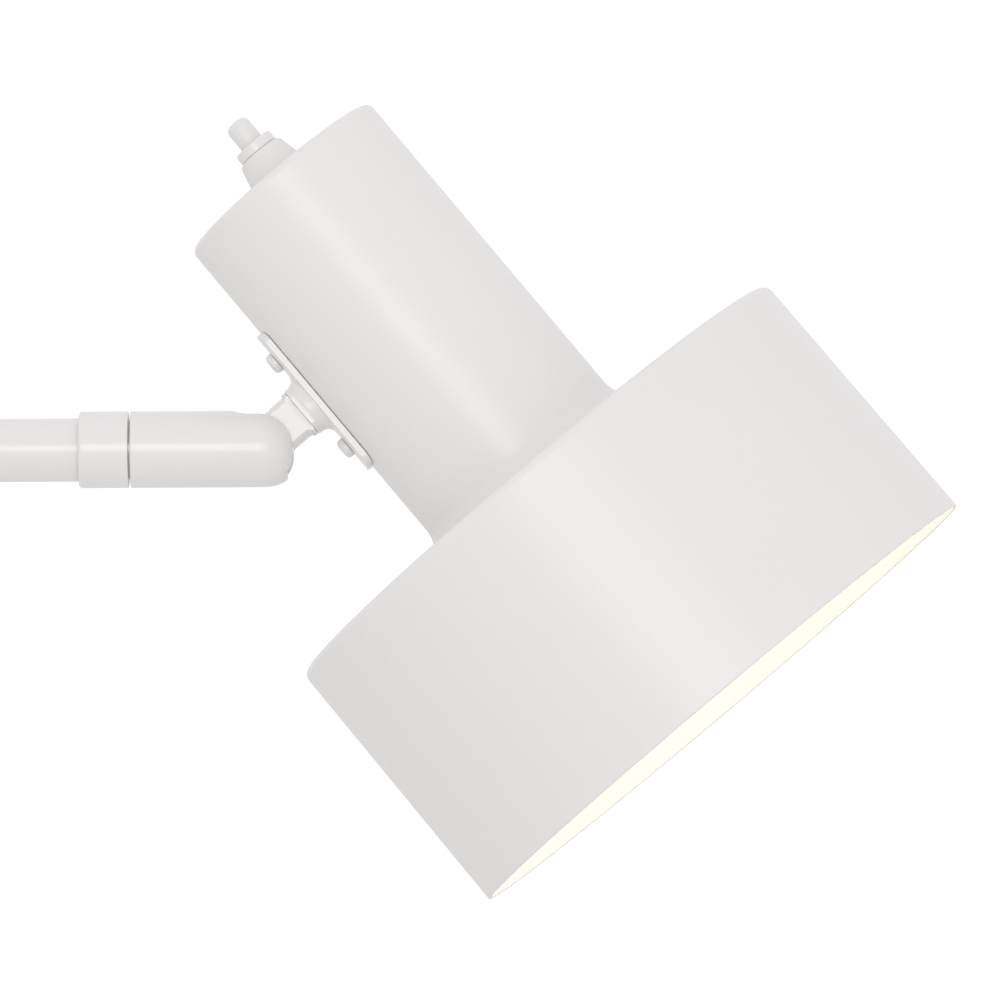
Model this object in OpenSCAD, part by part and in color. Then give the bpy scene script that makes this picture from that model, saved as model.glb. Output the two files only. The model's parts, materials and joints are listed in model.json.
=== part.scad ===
// Swing arm desk lamp: round base, post, two swing arms, knuckle and a stepped drum shade.
// Origin: centre of the base's underside. +Z is up and the arms point along +X.

/* [Base] */
// Diameter of the round base
base_d = 220; // [190:5:260]
// Height of the base above the desk
base_h = 28; // [26:1:36]
// Radius of the cover's top edge
base_edge_r = 6; // [3:0.5:9]
// Wall of the spun base cover
cover_wall = 1.5; // [1:0.1:2]
// Thickness of the felt pad
pad_t = 2; // [1:0.5:3]
// Bore of the cable inlet in the base
inlet_d = 6.5; // [5:0.5:8]

/* [Post] */
// Outer diameter of the post
post_d = 18; // [17:0.5:24]
// Wall of the post tube
post_wall = 1.5; // [1:0.1:2]
// Diameter of the turned flange at the foot of the post
flange_d = 38; // [30:1:60]
// Height of that flange
flange_h = 12; // [8:1:20]
// Diameter of the hollow threaded rod that holds the post down
stud_d = 10; // [8:0.5:11]

/* [Swing arms] */
// Height of the upper arm's axis above the desk
arm_z = 400; // [300:10:500]
// Length of the lower arm, post axis to elbow axis
lower_arm_l = 220; // [160:10:300]
// Length of the upper arm, elbow axis to the knuckle's tilt axis
upper_arm_l = 240; // [180:10:300]
// Outer diameter of both arm tubes
arm_d = 16; // [14:0.5:19]
// Wall of the arm tubes
arm_wall = 1.5; // [1:0.1:2]
// Diameter of the upright hubs at the post and the elbow
hub_d = 28; // [26:1:36]
// Height of those hubs
hub_h = 22; // [20:1:30]
// Diameter of the hollow pivots in the hubs
pivot_d = 12; // [10:0.5:13]
// Diameter of the flex in the tubes
lead_d = 4.5; // [3:0.5:5]

/* [Knuckle] */
// Diameter of the collar and the knuckle housing
knuckle_d = 19.4; // [18.4:0.2:24]
// Length of the collar on the arm's end
collar_l = 12.6; // [9:0.2:20]
// Gap between the collar and the housing
roll_gap = 0.5; // [0.4:0.1:1.5]
// Distance from the housing's rear face to the tilt axis
housing_l = 32.3; // [30:0.1:45]
// Diameter of the spigot that the housing turns on
spigot_d = 14.8; // [13.5:0.1:15.6]
// Width of the slot that the tongue swings in
slot_w = 8.9; // [8:0.1:9.5]
// Radius of the tongue's eye
eye_r = 8.3; // [7.5:0.1:8.6]
// Diameter of the round stub on the tongue
stub_d = 12; // [10.5:0.1:12.4]
// Distance from the tilt axis to the end of the stub
stub_l = 13.1; // [12.5:0.1:20]
// Diameter of the tilt screw
tilt_screw_d = 5; // [4:0.5:6]
// Angle that the stub stands above the arm
head_lift = 39.7; // [30:0.1:50]

/* [Head] */
// Outer diameter of the neck
neck_d = 58.6; // [56:0.2:70]
// Length of the neck, from its top to the shoulder
neck_l = 100.3; // [96:0.1:120]
// Distance from the neck's top down to the stub
stub_below_top = 49.4; // [46:0.1:60]
// Diameter of the shade at the shoulder
shade_top_d = 152.8; // [130:0.2:200]
// Diameter of the shade at its open edge
shade_mouth_d = 154.2; // [132:0.2:202]
// Height of the shade, from shoulder to open edge
shade_h = 73.8; // [70:0.1:100]
// Wall of the spun shade
shade_wall = 1; // [0.8:0.1:1.4]
// Inner radius of the sweep from the neck to the shoulder
sweep_r = 7.6; // [4:0.1:12]
// Radius of the shade's shoulder edge
shoulder_r = 2.3; // [1.8:0.1:5]
// Radius of the neck's top edge
neck_edge_r = 1.9; // [1.6:0.1:4]

/* [Mounting plate] */
// Length of the plate along the neck
plate_l = 43.4; // [40:0.2:50]
// Width of the plate round the neck
plate_w = 15.2; // [14:0.2:20]
// Thickness of the plate
plate_t = 1.5; // [1:0.1:2]
// Distance between the two plate screws
screw_spacing = 28; // [24:0.5:32]
// Diameter of the plate screws
screw_d = 3; // [2.5:0.5:4]
// Diameter of the screw heads
screw_head_d = 5.4; // [5:0.1:7]
// Diameter of the boss on the plate
boss_d = 13.9; // [13:0.1:16]
// Thickness of the washer between stub and boss
swivel_washer_t = 1; // [0.6:0.1:1.5]
// Diameter of that washer
swivel_washer_d = 13.5; // [12.6:0.1:16]

/* [Lampholder] */
// Diameter of the lampholder's skirt
holder_d = 38; // [37:0.5:42]
// Wall of the skirt and the cap
holder_wall = 1.5; // [1:0.1:2]
// How far the cap stands above the neck's top
cap_rise = 8.4; // [7:0.1:10]
// Diameter of the push button
button_d = 6.4; // [5:0.1:7]
// How far the button stands above its ring nut
button_rise = 7; // [5:0.5:9]
// Diameter of the ring nut round the button
switch_nut_d = 10.8; // [10:0.1:12]
// Height of that ring nut
switch_nut_h = 2.6; // [1.5:0.1:4]
// Diameter of the bulb's globe
bulb_d = 60; // [45:1:60]
// Length of the bulb, contact to tip
bulb_l = 105; // [100:1:108]

/* [Hidden] */
$fn = 96;

// Clearances
run = 0.05;       // radial clearance of a running fit
play = 0.3;       // space between faces that move past each other
over = 1;         // how far a cut runs past the face it opens

// Base
weight_gap = 0.5;
weight_r = base_d / 2 - cover_wall - 2 * weight_gap;
pocket_r = 24;
pocket_top = pad_t + 12;
base_nut_h = 6;
base_washer_t = 2;
inlet_z = pad_t + 8;
gland_r = inlet_d / 2 + 2.2;
gland_l = 7;
gland_flange_t = 2;
gland_flange_r = gland_r + 1.8;

// Heights of the two arms and their hubs
hub_washer_t = 1.2;
head_flange_t = 3;
arm_step = hub_h + hub_washer_t + play;
low_z = arm_z - arm_step;
pivot_bore_r = pivot_d / 2 - 2.5;
bush_r = pivot_d / 2 + 2;
post_top = low_z - hub_h / 2 - hub_washer_t - play - head_flange_t;
head_flange_r = hub_d / 2 - 2;
tube_seat = bush_r + 1.5;
cap_t = 2.5;
elbow_nut_h = 5;
elbow_nut_web = 1.5;
cap_plug_l = 4;
head_plug_l = 18;

// Knuckle, along the arm's axis
head_lead_d = 3.5;
knuckle_x = lower_arm_l + upper_arm_l;
knuckle_r = knuckle_d / 2;
housing_x0 = knuckle_x - housing_l;
collar_x0 = housing_x0 - roll_gap - collar_l;
collar_web = 3.2;
arm_end = housing_x0 - roll_gap - collar_web;
spigot_r = spigot_d / 2;
spigot_end = housing_x0 + 10;
spigot_bore_r = lead_d / 2 + 0.8;
groove_x = housing_x0 + 5;
groove_w = 3.4;
groove_r = spigot_r - 1.2;
grub_d = 3;
eye_clear = 0.4;
tongue_w = slot_w - 2 * (0.3 + run);
tilt_washer_t = 0.3;
tilt_head_seat = slot_w / 2 + 1.75;
tilt_thread_end = slot_w / 2 + 3.05;
tilt_head_r = tilt_screw_d / 2 + 1.7;
tilt_head_h = 2.4;
way_w = head_lead_d + 0.7;
way_z = tilt_screw_d / 2 + 0.6;

// Stub, plate and swivel, along the stub's axis
washer_x1 = stub_l + swivel_washer_t;
boss_x = washer_x1 + play;
boss_l = 3.3;
neck_r = neck_d / 2;
plate_x = boss_x + boss_l;
neck_x = plate_x + plate_t + neck_r;
swivel_d = 8;
swivel_bush_r = swivel_d / 2 + 1.5;
bracket_t = 1.5;
bracket_r = neck_r - shade_wall - bracket_t;
spring_washer_r = swivel_bush_r + 1.1;
bracket_sag = bracket_r - sqrt(pow(bracket_r, 2) - pow(spring_washer_r, 2));
bush_end = plate_x + plate_t + shade_wall + bracket_t + bracket_sag + play;
spring_washer_t = 0.8;
swivel_nut_h = 2.8;
swivel_end = bush_end + play + spring_washer_t + swivel_nut_h + play;
flare_r = 2.5;

// Head, along the neck's axis, measured from the stub
neck_top = stub_below_top;
shoulder_z = neck_top - neck_l;
mouth_z = shoulder_z - shade_h;
neck_bore_r = neck_r - shade_wall;
cap_hole_r = 9;

// Lampholder
holder_r = holder_d / 2;
thread_r = holder_r - 1.5;
seat_z = 24;
foot_t = 2;
ring_h = 5;
skirt_z0 = -17;
skirt_z1 = 34;
core_r = thread_r - holder_wall;
core_z0 = skirt_z0 + 3;
core_z1 = 20;
contact_pin_r = 2;
contact_z = 9;
shell_in_r = 13.3;
shell_wall = 0.6;
cap_top = neck_top + cap_rise;
cap_neck_z = neck_top - shade_wall - 0.6;
cap_tip_r = 6.2;
cap_neck_r = 8.5;
switch_thread_r = button_d / 2 + 0.8;
switch_r = 8;
switch_z0 = 26;
switch_z1 = 44;
button_z0 = cap_top - 8;
button_tip = cap_top + switch_nut_h + button_rise;
spring_z0 = switch_z0 + 8;
bulb_cap_l = 25;
bulb_cap_r = shell_in_r - 0.1;
bulb_tip_z = contact_z - bulb_l;
globe_z = bulb_tip_z + bulb_d / 2;
glass_z1 = contact_z - 1 - bulb_cap_l;
glass_neck_r = 12.8;
glass_wall = 0.9;

// Route of the flex inside the head, from the stub's end to the lampholder's skirt
head_lead_points = [
    [swivel_end + 0.4, 0, 0], [29.1, 0, 1], [28.8, 4, 6], [25.4, 9, 13], [24.6, 10, 20],
    [24.6, 10, 30], [36.5, 5, 30]
];

// Points on an arc about c, from angle a0 to a1
function arc(c, r, a0, a1, n = 8) =
    [for (i = [0:n]) c + r * [cos(a0 + (a1 - a0) * i / n), sin(a0 + (a1 - a0) * i / n)]];

// Outline of the shade shell set in by g, from the axis at the top to the axis at the mouth
function shell_outline(g, past) = concat(
    [[0, neck_top - g]],
    arc([neck_r - neck_edge_r, neck_top - neck_edge_r], neck_edge_r - g, 90, 0),
    arc([neck_r + sweep_r, shoulder_z + sweep_r], sweep_r + g, 180, 270, 14),
    arc([shade_top_d / 2 - shoulder_r, shoulder_z - shoulder_r], shoulder_r - g, 90, 0),
    [[shade_mouth_d / 2 - g, mouth_z - past], [0, mouth_z - past]]
);

// Outline of the bulb's glass set in by g
function bulb_outline(g) = let (
    r = bulb_d / 2 - g,
    join = 40,
    join_p = [r * cos(join), globe_z + r * sin(join)],
    neck_p = [glass_neck_r - g, glass_z1 - 6]
) concat(
    [[0, globe_z - r]],
    arc([0, globe_z], r, -84, join, 18),
    [for (i = [1:8]) let (t = i / 8, s = 1 - t) s * s * s * join_p
        + 3 * s * s * t * (join_p + 9 * [-sin(join), cos(join)])
        + 3 * s * t * t * (neck_p - [0, 9]) + t * t * t * neck_p],
    [[glass_neck_r - g, glass_z1], [0, glass_z1]]
);

module tube(h, r_out, r_in) {
    difference() {
        cylinder(h = h, r = r_out);
        translate([0, 0, -over]) cylinder(h = h + 2 * over, r = r_in);
    }
}

module hexagon_nut(h, across, bore_r) {
    difference() {
        cylinder(h = h, d = across / cos(30), $fn = 6);
        translate([0, 0, -over]) cylinder(h = h + 2 * over, r = bore_r);
    }
}

// A round rod from point p to point q
module rod(p, q, r) {
    d = q - p;
    translate(p) rotate([0, acos(d[2] / norm(d)), atan2(d[1], d[0])]) cylinder(h = norm(d), r = r);
}

// A flex through a list of points
module flex(points, d) {
    for (i = [0:len(points) - 2]) rod(points[i], points[i + 1], d / 2);
    for (i = [1:len(points) - 2]) translate(points[i]) sphere(d = d);
}

// A round lead swept through points that never run along Y
module sweep(points, r, sides = 10) {
    last = len(points) - 1;
    heading = [for (i = [0:last]) unit(points[min(i + 1, last)] - points[max(i - 1, 0)])];
    rings = [for (i = [0:last], k = [0:sides - 1]) let (
        u = unit(cross(heading[i], [0, 1, 0])),
        b = k * 360 / sides
    ) points[i] + r * (cos(b) * u + sin(b) * cross(heading[i], u))];
    walls = [for (i = [0:last - 1], k = [0:sides - 1], half = [0, 1]) let (
        j = (k + 1) % sides,
        a = i * sides,
        b = a + sides
    ) half == 0 ? [b + k, b + j, a + j] : [b + k, a + j, a + k]];
    ends = [[for (k = [0:sides - 1]) k], [for (k = [0:sides - 1]) last * sides + sides - 1 - k]];
    polyhedron(rings, concat(walls, ends), convexity = 4);
}

function unit(v) = v / norm(v);

// Places a shape that is drawn upright so that it points along +X
module along_x(x) {
    translate([x, 0, 0]) rotate([0, 90, 0]) children();
}

// Frame of the tongue and head: origin on the tilt axis, +X out along the stub, +Z up the neck
module in_head() {
    translate([knuckle_x, 0, arm_z]) rotate([0, -head_lift, 0]) children();
}

// Frame of the neck: the same, with its origin on the neck's axis
module in_neck() {
    in_head() translate([neck_x, 0, 0]) children();
}

// ---------- base ----------

module base_pad() {
    color("dimgray") cylinder(h = pad_t, r = base_d / 2 - 2);
}

module base_weight() {
    color("slategray") difference() {
        translate([0, 0, pad_t])
            cylinder(h = base_h - pad_t - cover_wall - weight_gap, r = weight_r - base_edge_r / 2);
        translate([0, 0, pad_t - over]) cylinder(h = pocket_top - pad_t + over, r = pocket_r);
        cylinder(h = base_h, r = stud_d / 2);
        translate([-base_d, -gland_r - 1, pad_t - over])
            cube([base_d - pocket_r / 2, 2 * gland_r + 2, inlet_z + gland_r + over]);
    }
}

module base_cover() {
    color("white") difference() {
        cover_solid(0, 0);
        cover_solid(cover_wall, over);
        cylinder(h = base_h + over, r = stud_d / 2);
        translate([0, 0, inlet_z]) rotate([0, -90, 0]) cylinder(h = base_d, r = gland_r);
    }
}

module cover_solid(g, past) {
    rotate_extrude() polygon(concat(
        [[0, pad_t - past], [base_d / 2 - g, pad_t - past]],
        arc([base_d / 2 - base_edge_r, base_h - base_edge_r], base_edge_r - g, 0, 90, 10),
        [[0, base_h - g]]
    ));
}

module cable_gland() {
    flange_x = -base_d / 2 - gland_flange_t;
    color("white") difference() {
        union() {
            translate([flange_x, 0, inlet_z]) rotate([0, 90, 0])
                cylinder(h = gland_flange_t + gland_l, r = gland_r);
            difference() {
                translate([flange_x, 0, inlet_z]) rotate([0, 90, 0])
                    cylinder(h = gland_flange_t + over, r = gland_flange_r);
                cylinder(h = base_h, r = base_d / 2);
            }
        }
        translate([flange_x - over, 0, inlet_z]) rotate([0, 90, 0])
            cylinder(h = gland_flange_t + gland_l + 2 * over, r = inlet_d / 2);
    }
}

module base_nut() {
    color("silver") translate([0, 0, pocket_top - base_washer_t - base_nut_h])
        hexagon_nut(base_nut_h, stud_d * 1.7, stud_d / 2);
}

module base_washer() {
    color("silver") translate([0, 0, pocket_top - base_washer_t])
        tube(base_washer_t, pocket_r - 6, stud_d / 2);
}

// ---------- post ----------

module post_stud() {
    z0 = pocket_top - base_washer_t - base_nut_h - 1;
    color("silver") translate([0, 0, z0]) tube(base_h + 18 - z0, stud_d / 2, stud_d / 2 - 2);
}

module post_foot_plug() {
    color("silver") translate([0, 0, base_h]) tube(20, post_d / 2 - post_wall, stud_d / 2);
}

module post_flange() {
    r = post_d / 2;
    cove = min(flange_h - 3, flange_d / 2 - r - 2);
    color("white") translate([0, 0, base_h]) rotate_extrude() polygon(concat(
        [[r, 0], [flange_d / 2, 0], [flange_d / 2, 1.5]],
        arc([r + 1.2 + cove, 2.5 + cove], cove, 270, 180, 12),
        [[r + 1.2, flange_h - 0.4], [r + 0.8, flange_h], [r, flange_h]]
    ));
}

module post_tube() {
    color("white") translate([0, 0, base_h]) tube(post_top - base_h, post_d / 2, post_d / 2 - post_wall);
}

module post_head() {
    z0 = post_top - head_plug_l;
    z1 = low_z + hub_h / 2 + play;
    color("silver") difference() {
        union() {
            translate([0, 0, z0]) cylinder(h = head_plug_l, r = post_d / 2 - post_wall);
            translate([0, 0, post_top]) cylinder(h = head_flange_t, r = head_flange_r);
            translate([0, 0, post_top]) cylinder(h = z1 - post_top, r = pivot_d / 2);
        }
        translate([0, 0, z0 - over]) cylinder(h = z1 - z0 + 2 * over, r = pivot_bore_r);
        translate([0, 0, low_z]) along_x(0) cylinder(h = hub_d, r = lead_d / 2 + play);
    }
}

module post_washer() {
    color("ivory") translate([0, 0, post_top + head_flange_t])
        tube(hub_washer_t, head_flange_r - 1, pivot_d / 2);
}

module post_cap() {
    color("white") translate([0, 0, low_z + hub_h / 2 + play]) hub_cap();
}

// A round cap with a plug that presses into a hollow pivot
module hub_cap() {
    r = head_flange_r;
    edge = 1;
    translate([0, 0, -cap_plug_l]) cylinder(h = cap_plug_l + edge, r = pivot_bore_r);
    rotate_extrude() polygon(concat(
        [[0, 0], [r, 0]],
        arc([r - edge, cap_t - edge], edge, 0, 90, 5),
        [[0, cap_t]]
    ));
}

module post_lead() {
    color("dimgray") translate([0, 0, pocket_top]) cylinder(h = low_z - pocket_top, d = lead_d);
}

// ---------- lower arm ----------

// An upright hub with a bore on its axis and a socket for an arm tube on side s
module hub(z, bore_r, s, seat) {
    translate([0, 0, z - hub_h / 2]) difference() {
        rotate_extrude() polygon(concat(
            [[0, 0], [hub_d / 2 - 0.8, 0], [hub_d / 2, 0.8]],
            [[hub_d / 2, hub_h - 0.8], [hub_d / 2 - 0.8, hub_h], [0, hub_h]]
        ));
        translate([0, 0, -over]) cylinder(h = hub_h + 2 * over, r = bore_r);
        translate([0, 0, hub_h / 2]) rotate([0, s * 90, 0]) {
            cylinder(h = hub_d, r = lead_d / 2 + 0.5);
            translate([0, 0, seat]) cylinder(h = hub_d, r = arm_d / 2);
        }
    }
}

// A bearing bush with a side window for the flex
module bush(z, s) {
    color("ivory") difference() {
        translate([0, 0, z - hub_h / 2]) tube(hub_h, bush_r, pivot_d / 2 + run);
        translate([0, 0, z]) rotate([0, s * 90, 0]) cylinder(h = hub_d, r = lead_d / 2 + play);
    }
}

module post_hub() {
    color("white") hub(low_z, bush_r, 1, tube_seat);
}

module post_bush() {
    bush(low_z, 1);
}

module lower_arm_tube() {
    color("white") translate([0, 0, low_z]) along_x(tube_seat)
        tube(lower_arm_l - 2 * tube_seat, arm_d / 2, arm_d / 2 - arm_wall);
}

module elbow_lower_hub() {
    color("white") translate([lower_arm_l, 0, 0]) hub(low_z, bush_r, -1, tube_seat);
}

module elbow_bush() {
    translate([lower_arm_l, 0, 0]) bush(low_z, -1);
}

module lower_arm_lead() {
    color("dimgray") translate([0, 0, low_z]) along_x(bush_r)
        cylinder(h = lower_arm_l - 2 * bush_r, d = lead_d);
}

// ---------- upper arm ----------

module elbow_stem() {
    z0 = low_z - hub_h / 2 - play - elbow_nut_h + elbow_nut_web;
    z1 = arm_z + hub_h / 2;
    color("silver") translate([lower_arm_l, 0, 0]) difference() {
        translate([0, 0, z0]) tube(z1 - z0, pivot_d / 2, pivot_bore_r);
        translate([0, 0, low_z]) rotate([0, -90, 0]) cylinder(h = hub_d, r = lead_d / 2 + play);
        translate([0, 0, arm_z]) rotate([0, 90, 0]) cylinder(h = hub_d, r = lead_d / 2 + play);
    }
}

module elbow_upper_hub() {
    color("white") translate([lower_arm_l, 0, 0]) hub(arm_z, pivot_d / 2, 1, tube_seat);
}

module elbow_washer() {
    color("ivory") translate([lower_arm_l, 0, arm_z - hub_h / 2 - hub_washer_t])
        tube(hub_washer_t, hub_d / 2 - 2, pivot_d / 2);
}

module elbow_nut() {
    r = head_flange_r;
    z1 = low_z - hub_h / 2 - play;
    color("white") translate([lower_arm_l, 0, z1 - elbow_nut_h]) difference() {
        rotate_extrude() polygon(concat(
            [[0, 0]],
            arc([r - elbow_nut_web, elbow_nut_web], elbow_nut_web, 270, 360, 6),
            [[r, elbow_nut_h], [0, elbow_nut_h]]
        ));
        translate([0, 0, elbow_nut_web]) cylinder(h = elbow_nut_h, r = pivot_d / 2);
    }
}

module elbow_cap() {
    color("white") translate([lower_arm_l, 0, arm_z + hub_h / 2]) hub_cap();
}

module upper_arm_tube() {
    color("white") translate([0, 0, arm_z]) along_x(lower_arm_l + tube_seat)
        tube(arm_end - lower_arm_l - tube_seat, arm_d / 2, arm_d / 2 - arm_wall);
}

module arm_collar() {
    edge = 1;
    color("white") translate([0, 0, arm_z]) along_x(collar_x0) difference() {
        rotate_extrude() polygon(concat(
            [[0, 0]],
            arc([knuckle_r - edge, edge], edge, 270, 360, 6),
            [[knuckle_r, collar_l], [0, collar_l]]
        ));
        translate([0, 0, -over]) cylinder(h = collar_l - collar_web + over, r = arm_d / 2);
        cylinder(h = collar_l + over, r = spigot_r);
    }
}

module roll_spigot() {
    plug_l = 12;
    color("silver") translate([0, 0, arm_z]) difference() {
        union() {
            along_x(arm_end - plug_l) cylinder(h = plug_l, r = arm_d / 2 - arm_wall);
            along_x(arm_end) cylinder(h = spigot_end - arm_end, r = spigot_r);
        }
        along_x(arm_end - plug_l - over)
            cylinder(h = plug_l + spigot_end - arm_end + 2 * over, r = spigot_bore_r);
        along_x(groove_x - groove_w / 2) difference() {
            cylinder(h = groove_w, r = spigot_r + over);
            translate([0, 0, -over]) cylinder(h = groove_w + 2 * over, r = groove_r);
        }
    }
}

module upper_arm_lead() {
    color("dimgray") flex([
        [lower_arm_l, 0, low_z], [lower_arm_l, 0, arm_z], [spigot_end + 4, 0, arm_z]
    ], lead_d);
}

// ---------- knuckle ----------

module knuckle_housing() {
    hw = slot_w / 2;
    slot_end = -stub_d / 2 - 0.7;
    bore_l = spigot_end - housing_x0 + 1;
    color("white") translate([knuckle_x, 0, arm_z]) difference() {
        union() {
            along_x(-housing_l) rotate_extrude() polygon([
                [0, 0], [knuckle_r - 0.4, 0], [knuckle_r, 0.4], [knuckle_r, housing_l], [0, housing_l]
            ]);
            sphere(r = knuckle_r);
        }
        // slot, open upwards and forwards, with a round end
        linear_extrude(height = knuckle_d) {
            translate([slot_end + hw, -hw]) square([knuckle_d, slot_w]);
            translate([slot_end + hw, 0]) circle(r = hw);
        }
        translate([0, -hw, -stub_d / 2 - play]) cube([knuckle_d, slot_w, knuckle_d]);
        // room for the tongue's eye
        rotate([90, 0, 0]) translate([0, 0, -hw]) cylinder(h = slot_w, r = eye_r + eye_clear);
        // bore for the spigot, and the way through for the flex
        along_x(-housing_l - over) cylinder(h = bore_l + over, r = spigot_r + run);
        along_x(-housing_l) cylinder(h = housing_l, r = spigot_bore_r);
        // tilt screw: blind in the front cheek, counterbored in the back one
        rotate([90, 0, 0]) translate([0, 0, -knuckle_r])
            cylinder(h = knuckle_r + tilt_thread_end, r = tilt_screw_d / 2);
        rotate([90, 0, 0]) translate([0, 0, -knuckle_r - over])
            cylinder(h = knuckle_r + over - tilt_head_seat, r = tilt_head_r + 0.2);
        // grub screw
        translate([groove_x - knuckle_x, 0, 0]) rotate([-90, 0, 0]) cylinder(h = knuckle_d, d = grub_d);
    }
}

module roll_grub_screw() {
    y0 = groove_r + play;
    color("silver") translate([groove_x, 0, arm_z]) rotate([-90, 0, 0]) difference() {
        translate([0, 0, y0]) cylinder(h = knuckle_r - 0.4 - y0, d = grub_d);
        translate([0, 0, knuckle_r - 1.6]) cylinder(h = 2, d = 1.5, $fn = 6);
    }
}

module knuckle_screw() {
    color("silver") translate([knuckle_x, 0, arm_z]) rotate([-90, 0, 0]) difference() {
        union() {
            translate([0, 0, -tilt_thread_end])
                cylinder(h = tilt_thread_end + tilt_head_seat, r = tilt_screw_d / 2);
            translate([0, 0, tilt_head_seat]) cylinder(h = tilt_head_h, r = tilt_head_r);
        }
        translate([0, 0, tilt_head_seat + tilt_head_h - 1.6]) cylinder(h = 1.6 + over, d = 3, $fn = 6);
    }
}

module friction_washers() {
    color("ivory") translate([knuckle_x, 0, arm_z]) for (s = [-1, 1])
        rotate([s * 90, 0, 0]) translate([0, 0, slot_w / 2 - tilt_washer_t])
            tube(tilt_washer_t, eye_r - 1, tilt_screw_d / 2);
}

// ---------- tongue ----------

module knuckle_tongue() {
    hw = tongue_w / 2;
    color("white") in_head() difference() {
        union() {
            intersection() {
                union() {
                    rotate([90, 0, 0]) translate([0, 0, -knuckle_r])
                        cylinder(h = 2 * knuckle_r, r = eye_r);
                    along_x(0) cylinder(h = stub_l, r = stub_d / 2);
                    tongue_flare();
                }
                translate([-eye_r - over, -hw, -knuckle_d])
                    cube([knuckle_d + stub_l, tongue_w, 2 * knuckle_d]);
            }
            along_x(stub_l - 0.9) cylinder(h = 0.9, r = stub_d / 2);
            along_x(stub_l - over) cylinder(h = swivel_end - stub_l + over, d = swivel_d);
        }
        rotate([90, 0, 0]) translate([0, 0, -knuckle_d])
            cylinder(h = 2 * knuckle_d, r = tilt_screw_d / 2 + run);
        // way for the flex: down the swivel pin and over the tilt screw
        along_x(6) cylinder(h = swivel_end, r = head_lead_d / 2 + 0.3);
        translate([-knuckle_d, -way_w / 2, way_z]) cube([knuckle_d + 8.5, way_w, knuckle_d]);
        translate([5, -way_w / 2, 0]) cube([3.5, way_w, knuckle_d]);
    }
}

// Where the eye's lower side runs out into the stub
module tongue_flare() {
    fillet = 3;
    reach = sqrt(pow(eye_r + fillet, 2) - pow(stub_d / 2 + fillet, 2));
    a = atan2(stub_d / 2 + fillet, reach);
    rotate([90, 0, 0]) translate([0, 0, -knuckle_r]) linear_extrude(height = 2 * knuckle_r)
        polygon(concat(
            [[0, 0]],
            [eye_r * [cos(a), -sin(a)]],
            arc([reach, -stub_d / 2 - fillet], fillet, 180 - a, 90, 6),
            [[reach, 0]]
        ));
}

module swivel_washer() {
    edge = 0.3;
    r = swivel_washer_d / 2;
    t = swivel_washer_t;
    color("white") in_head() along_x(stub_l) rotate_extrude() polygon([
        [swivel_d / 2, 0], [r - edge, 0], [r, edge], [r, t - edge], [r - edge, t], [swivel_d / 2, t]
    ]);
}

module swivel_spring_washer() {
    color("silver") in_head() along_x(bush_end + play)
        tube(spring_washer_t, spring_washer_r, swivel_d / 2);
}

module swivel_nut() {
    color("silver") in_head() along_x(bush_end + play + spring_washer_t)
        hexagon_nut(swivel_nut_h, swivel_d + 5, swivel_d / 2);
}

// ---------- head: plate and bracket ----------

function rounded_rect(l, w, r) = concat(
    arc([l / 2 - r, w / 2 - r], r, 0, 90, 6),
    arc([-l / 2 + r, w / 2 - r], r, 90, 180, 6),
    arc([-l / 2 + r, -w / 2 + r], r, 180, 270, 6),
    arc([l / 2 - r, -w / 2 + r], r, 270, 360, 6)
);

module mounting_plate() {
    corner = 3;
    color("white") difference() {
        in_head() union() {
            intersection() {
                translate([neck_x, 0, -plate_l]) cylinder(h = 2 * plate_l, r = neck_r + plate_t);
                translate([plate_x - over, 0, 0]) rotate([0, 90, 0])
                    linear_extrude(height = neck_r / 2) polygon(rounded_rect(plate_l, plate_w, corner));
            }
            along_x(boss_x) rotate_extrude() polygon(concat(
                [[0, 0], [boss_d / 2, 0]],
                arc([boss_d / 2 + flare_r, boss_l - flare_r], flare_r, 180, 90, 6),
                [[boss_d / 2 + flare_r, boss_l + 1], [0, boss_l + 1]]
            ));
        }
        in_neck() translate([0, 0, -plate_l]) cylinder(h = 2 * plate_l, r = neck_r);
        in_head() along_x(boss_x - over) cylinder(h = neck_r, r = swivel_bush_r);
        screw_holes(screw_d / 2 + 0.1);
    }
}

module screw_holes(r) {
    in_head() for (s = [-1, 1]) translate([plate_x - over, 0, s * screw_spacing / 2])
        rotate([0, 90, 0]) cylinder(h = neck_r / 2, r = r);
}

module plate_screws() {
    head_r = screw_head_d / 2;
    head_h = 2;
    edge = 1.2;
    recess_l = 2.8;
    recess_w = 0.7;
    grip = plate_t + shade_wall + bracket_t + 1.5;
    color("white") in_head() for (s = [-1, 1]) translate([plate_x, 0, s * screw_spacing / 2])
        rotate([0, 90, 0]) {
            difference() {
                translate([0, 0, -head_h]) rotate_extrude() polygon(concat(
                    [[0, 0]],
                    arc([head_r - edge, edge], edge, 270, 360, 6),
                    [[head_r, head_h], [0, head_h]]
                ));
                for (a = [0, 90]) rotate([0, 0, a]) translate([-recess_l / 2, -recess_w / 2, -head_h - over])
                    cube([recess_l, recess_w, over + 1.1]);
            }
            cylinder(h = grip, d = screw_d);
        }
}

module swivel_bush() {
    color("ivory") in_head() along_x(boss_x) tube(bush_end - boss_x, swivel_bush_r, swivel_d / 2 + run);
}

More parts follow.
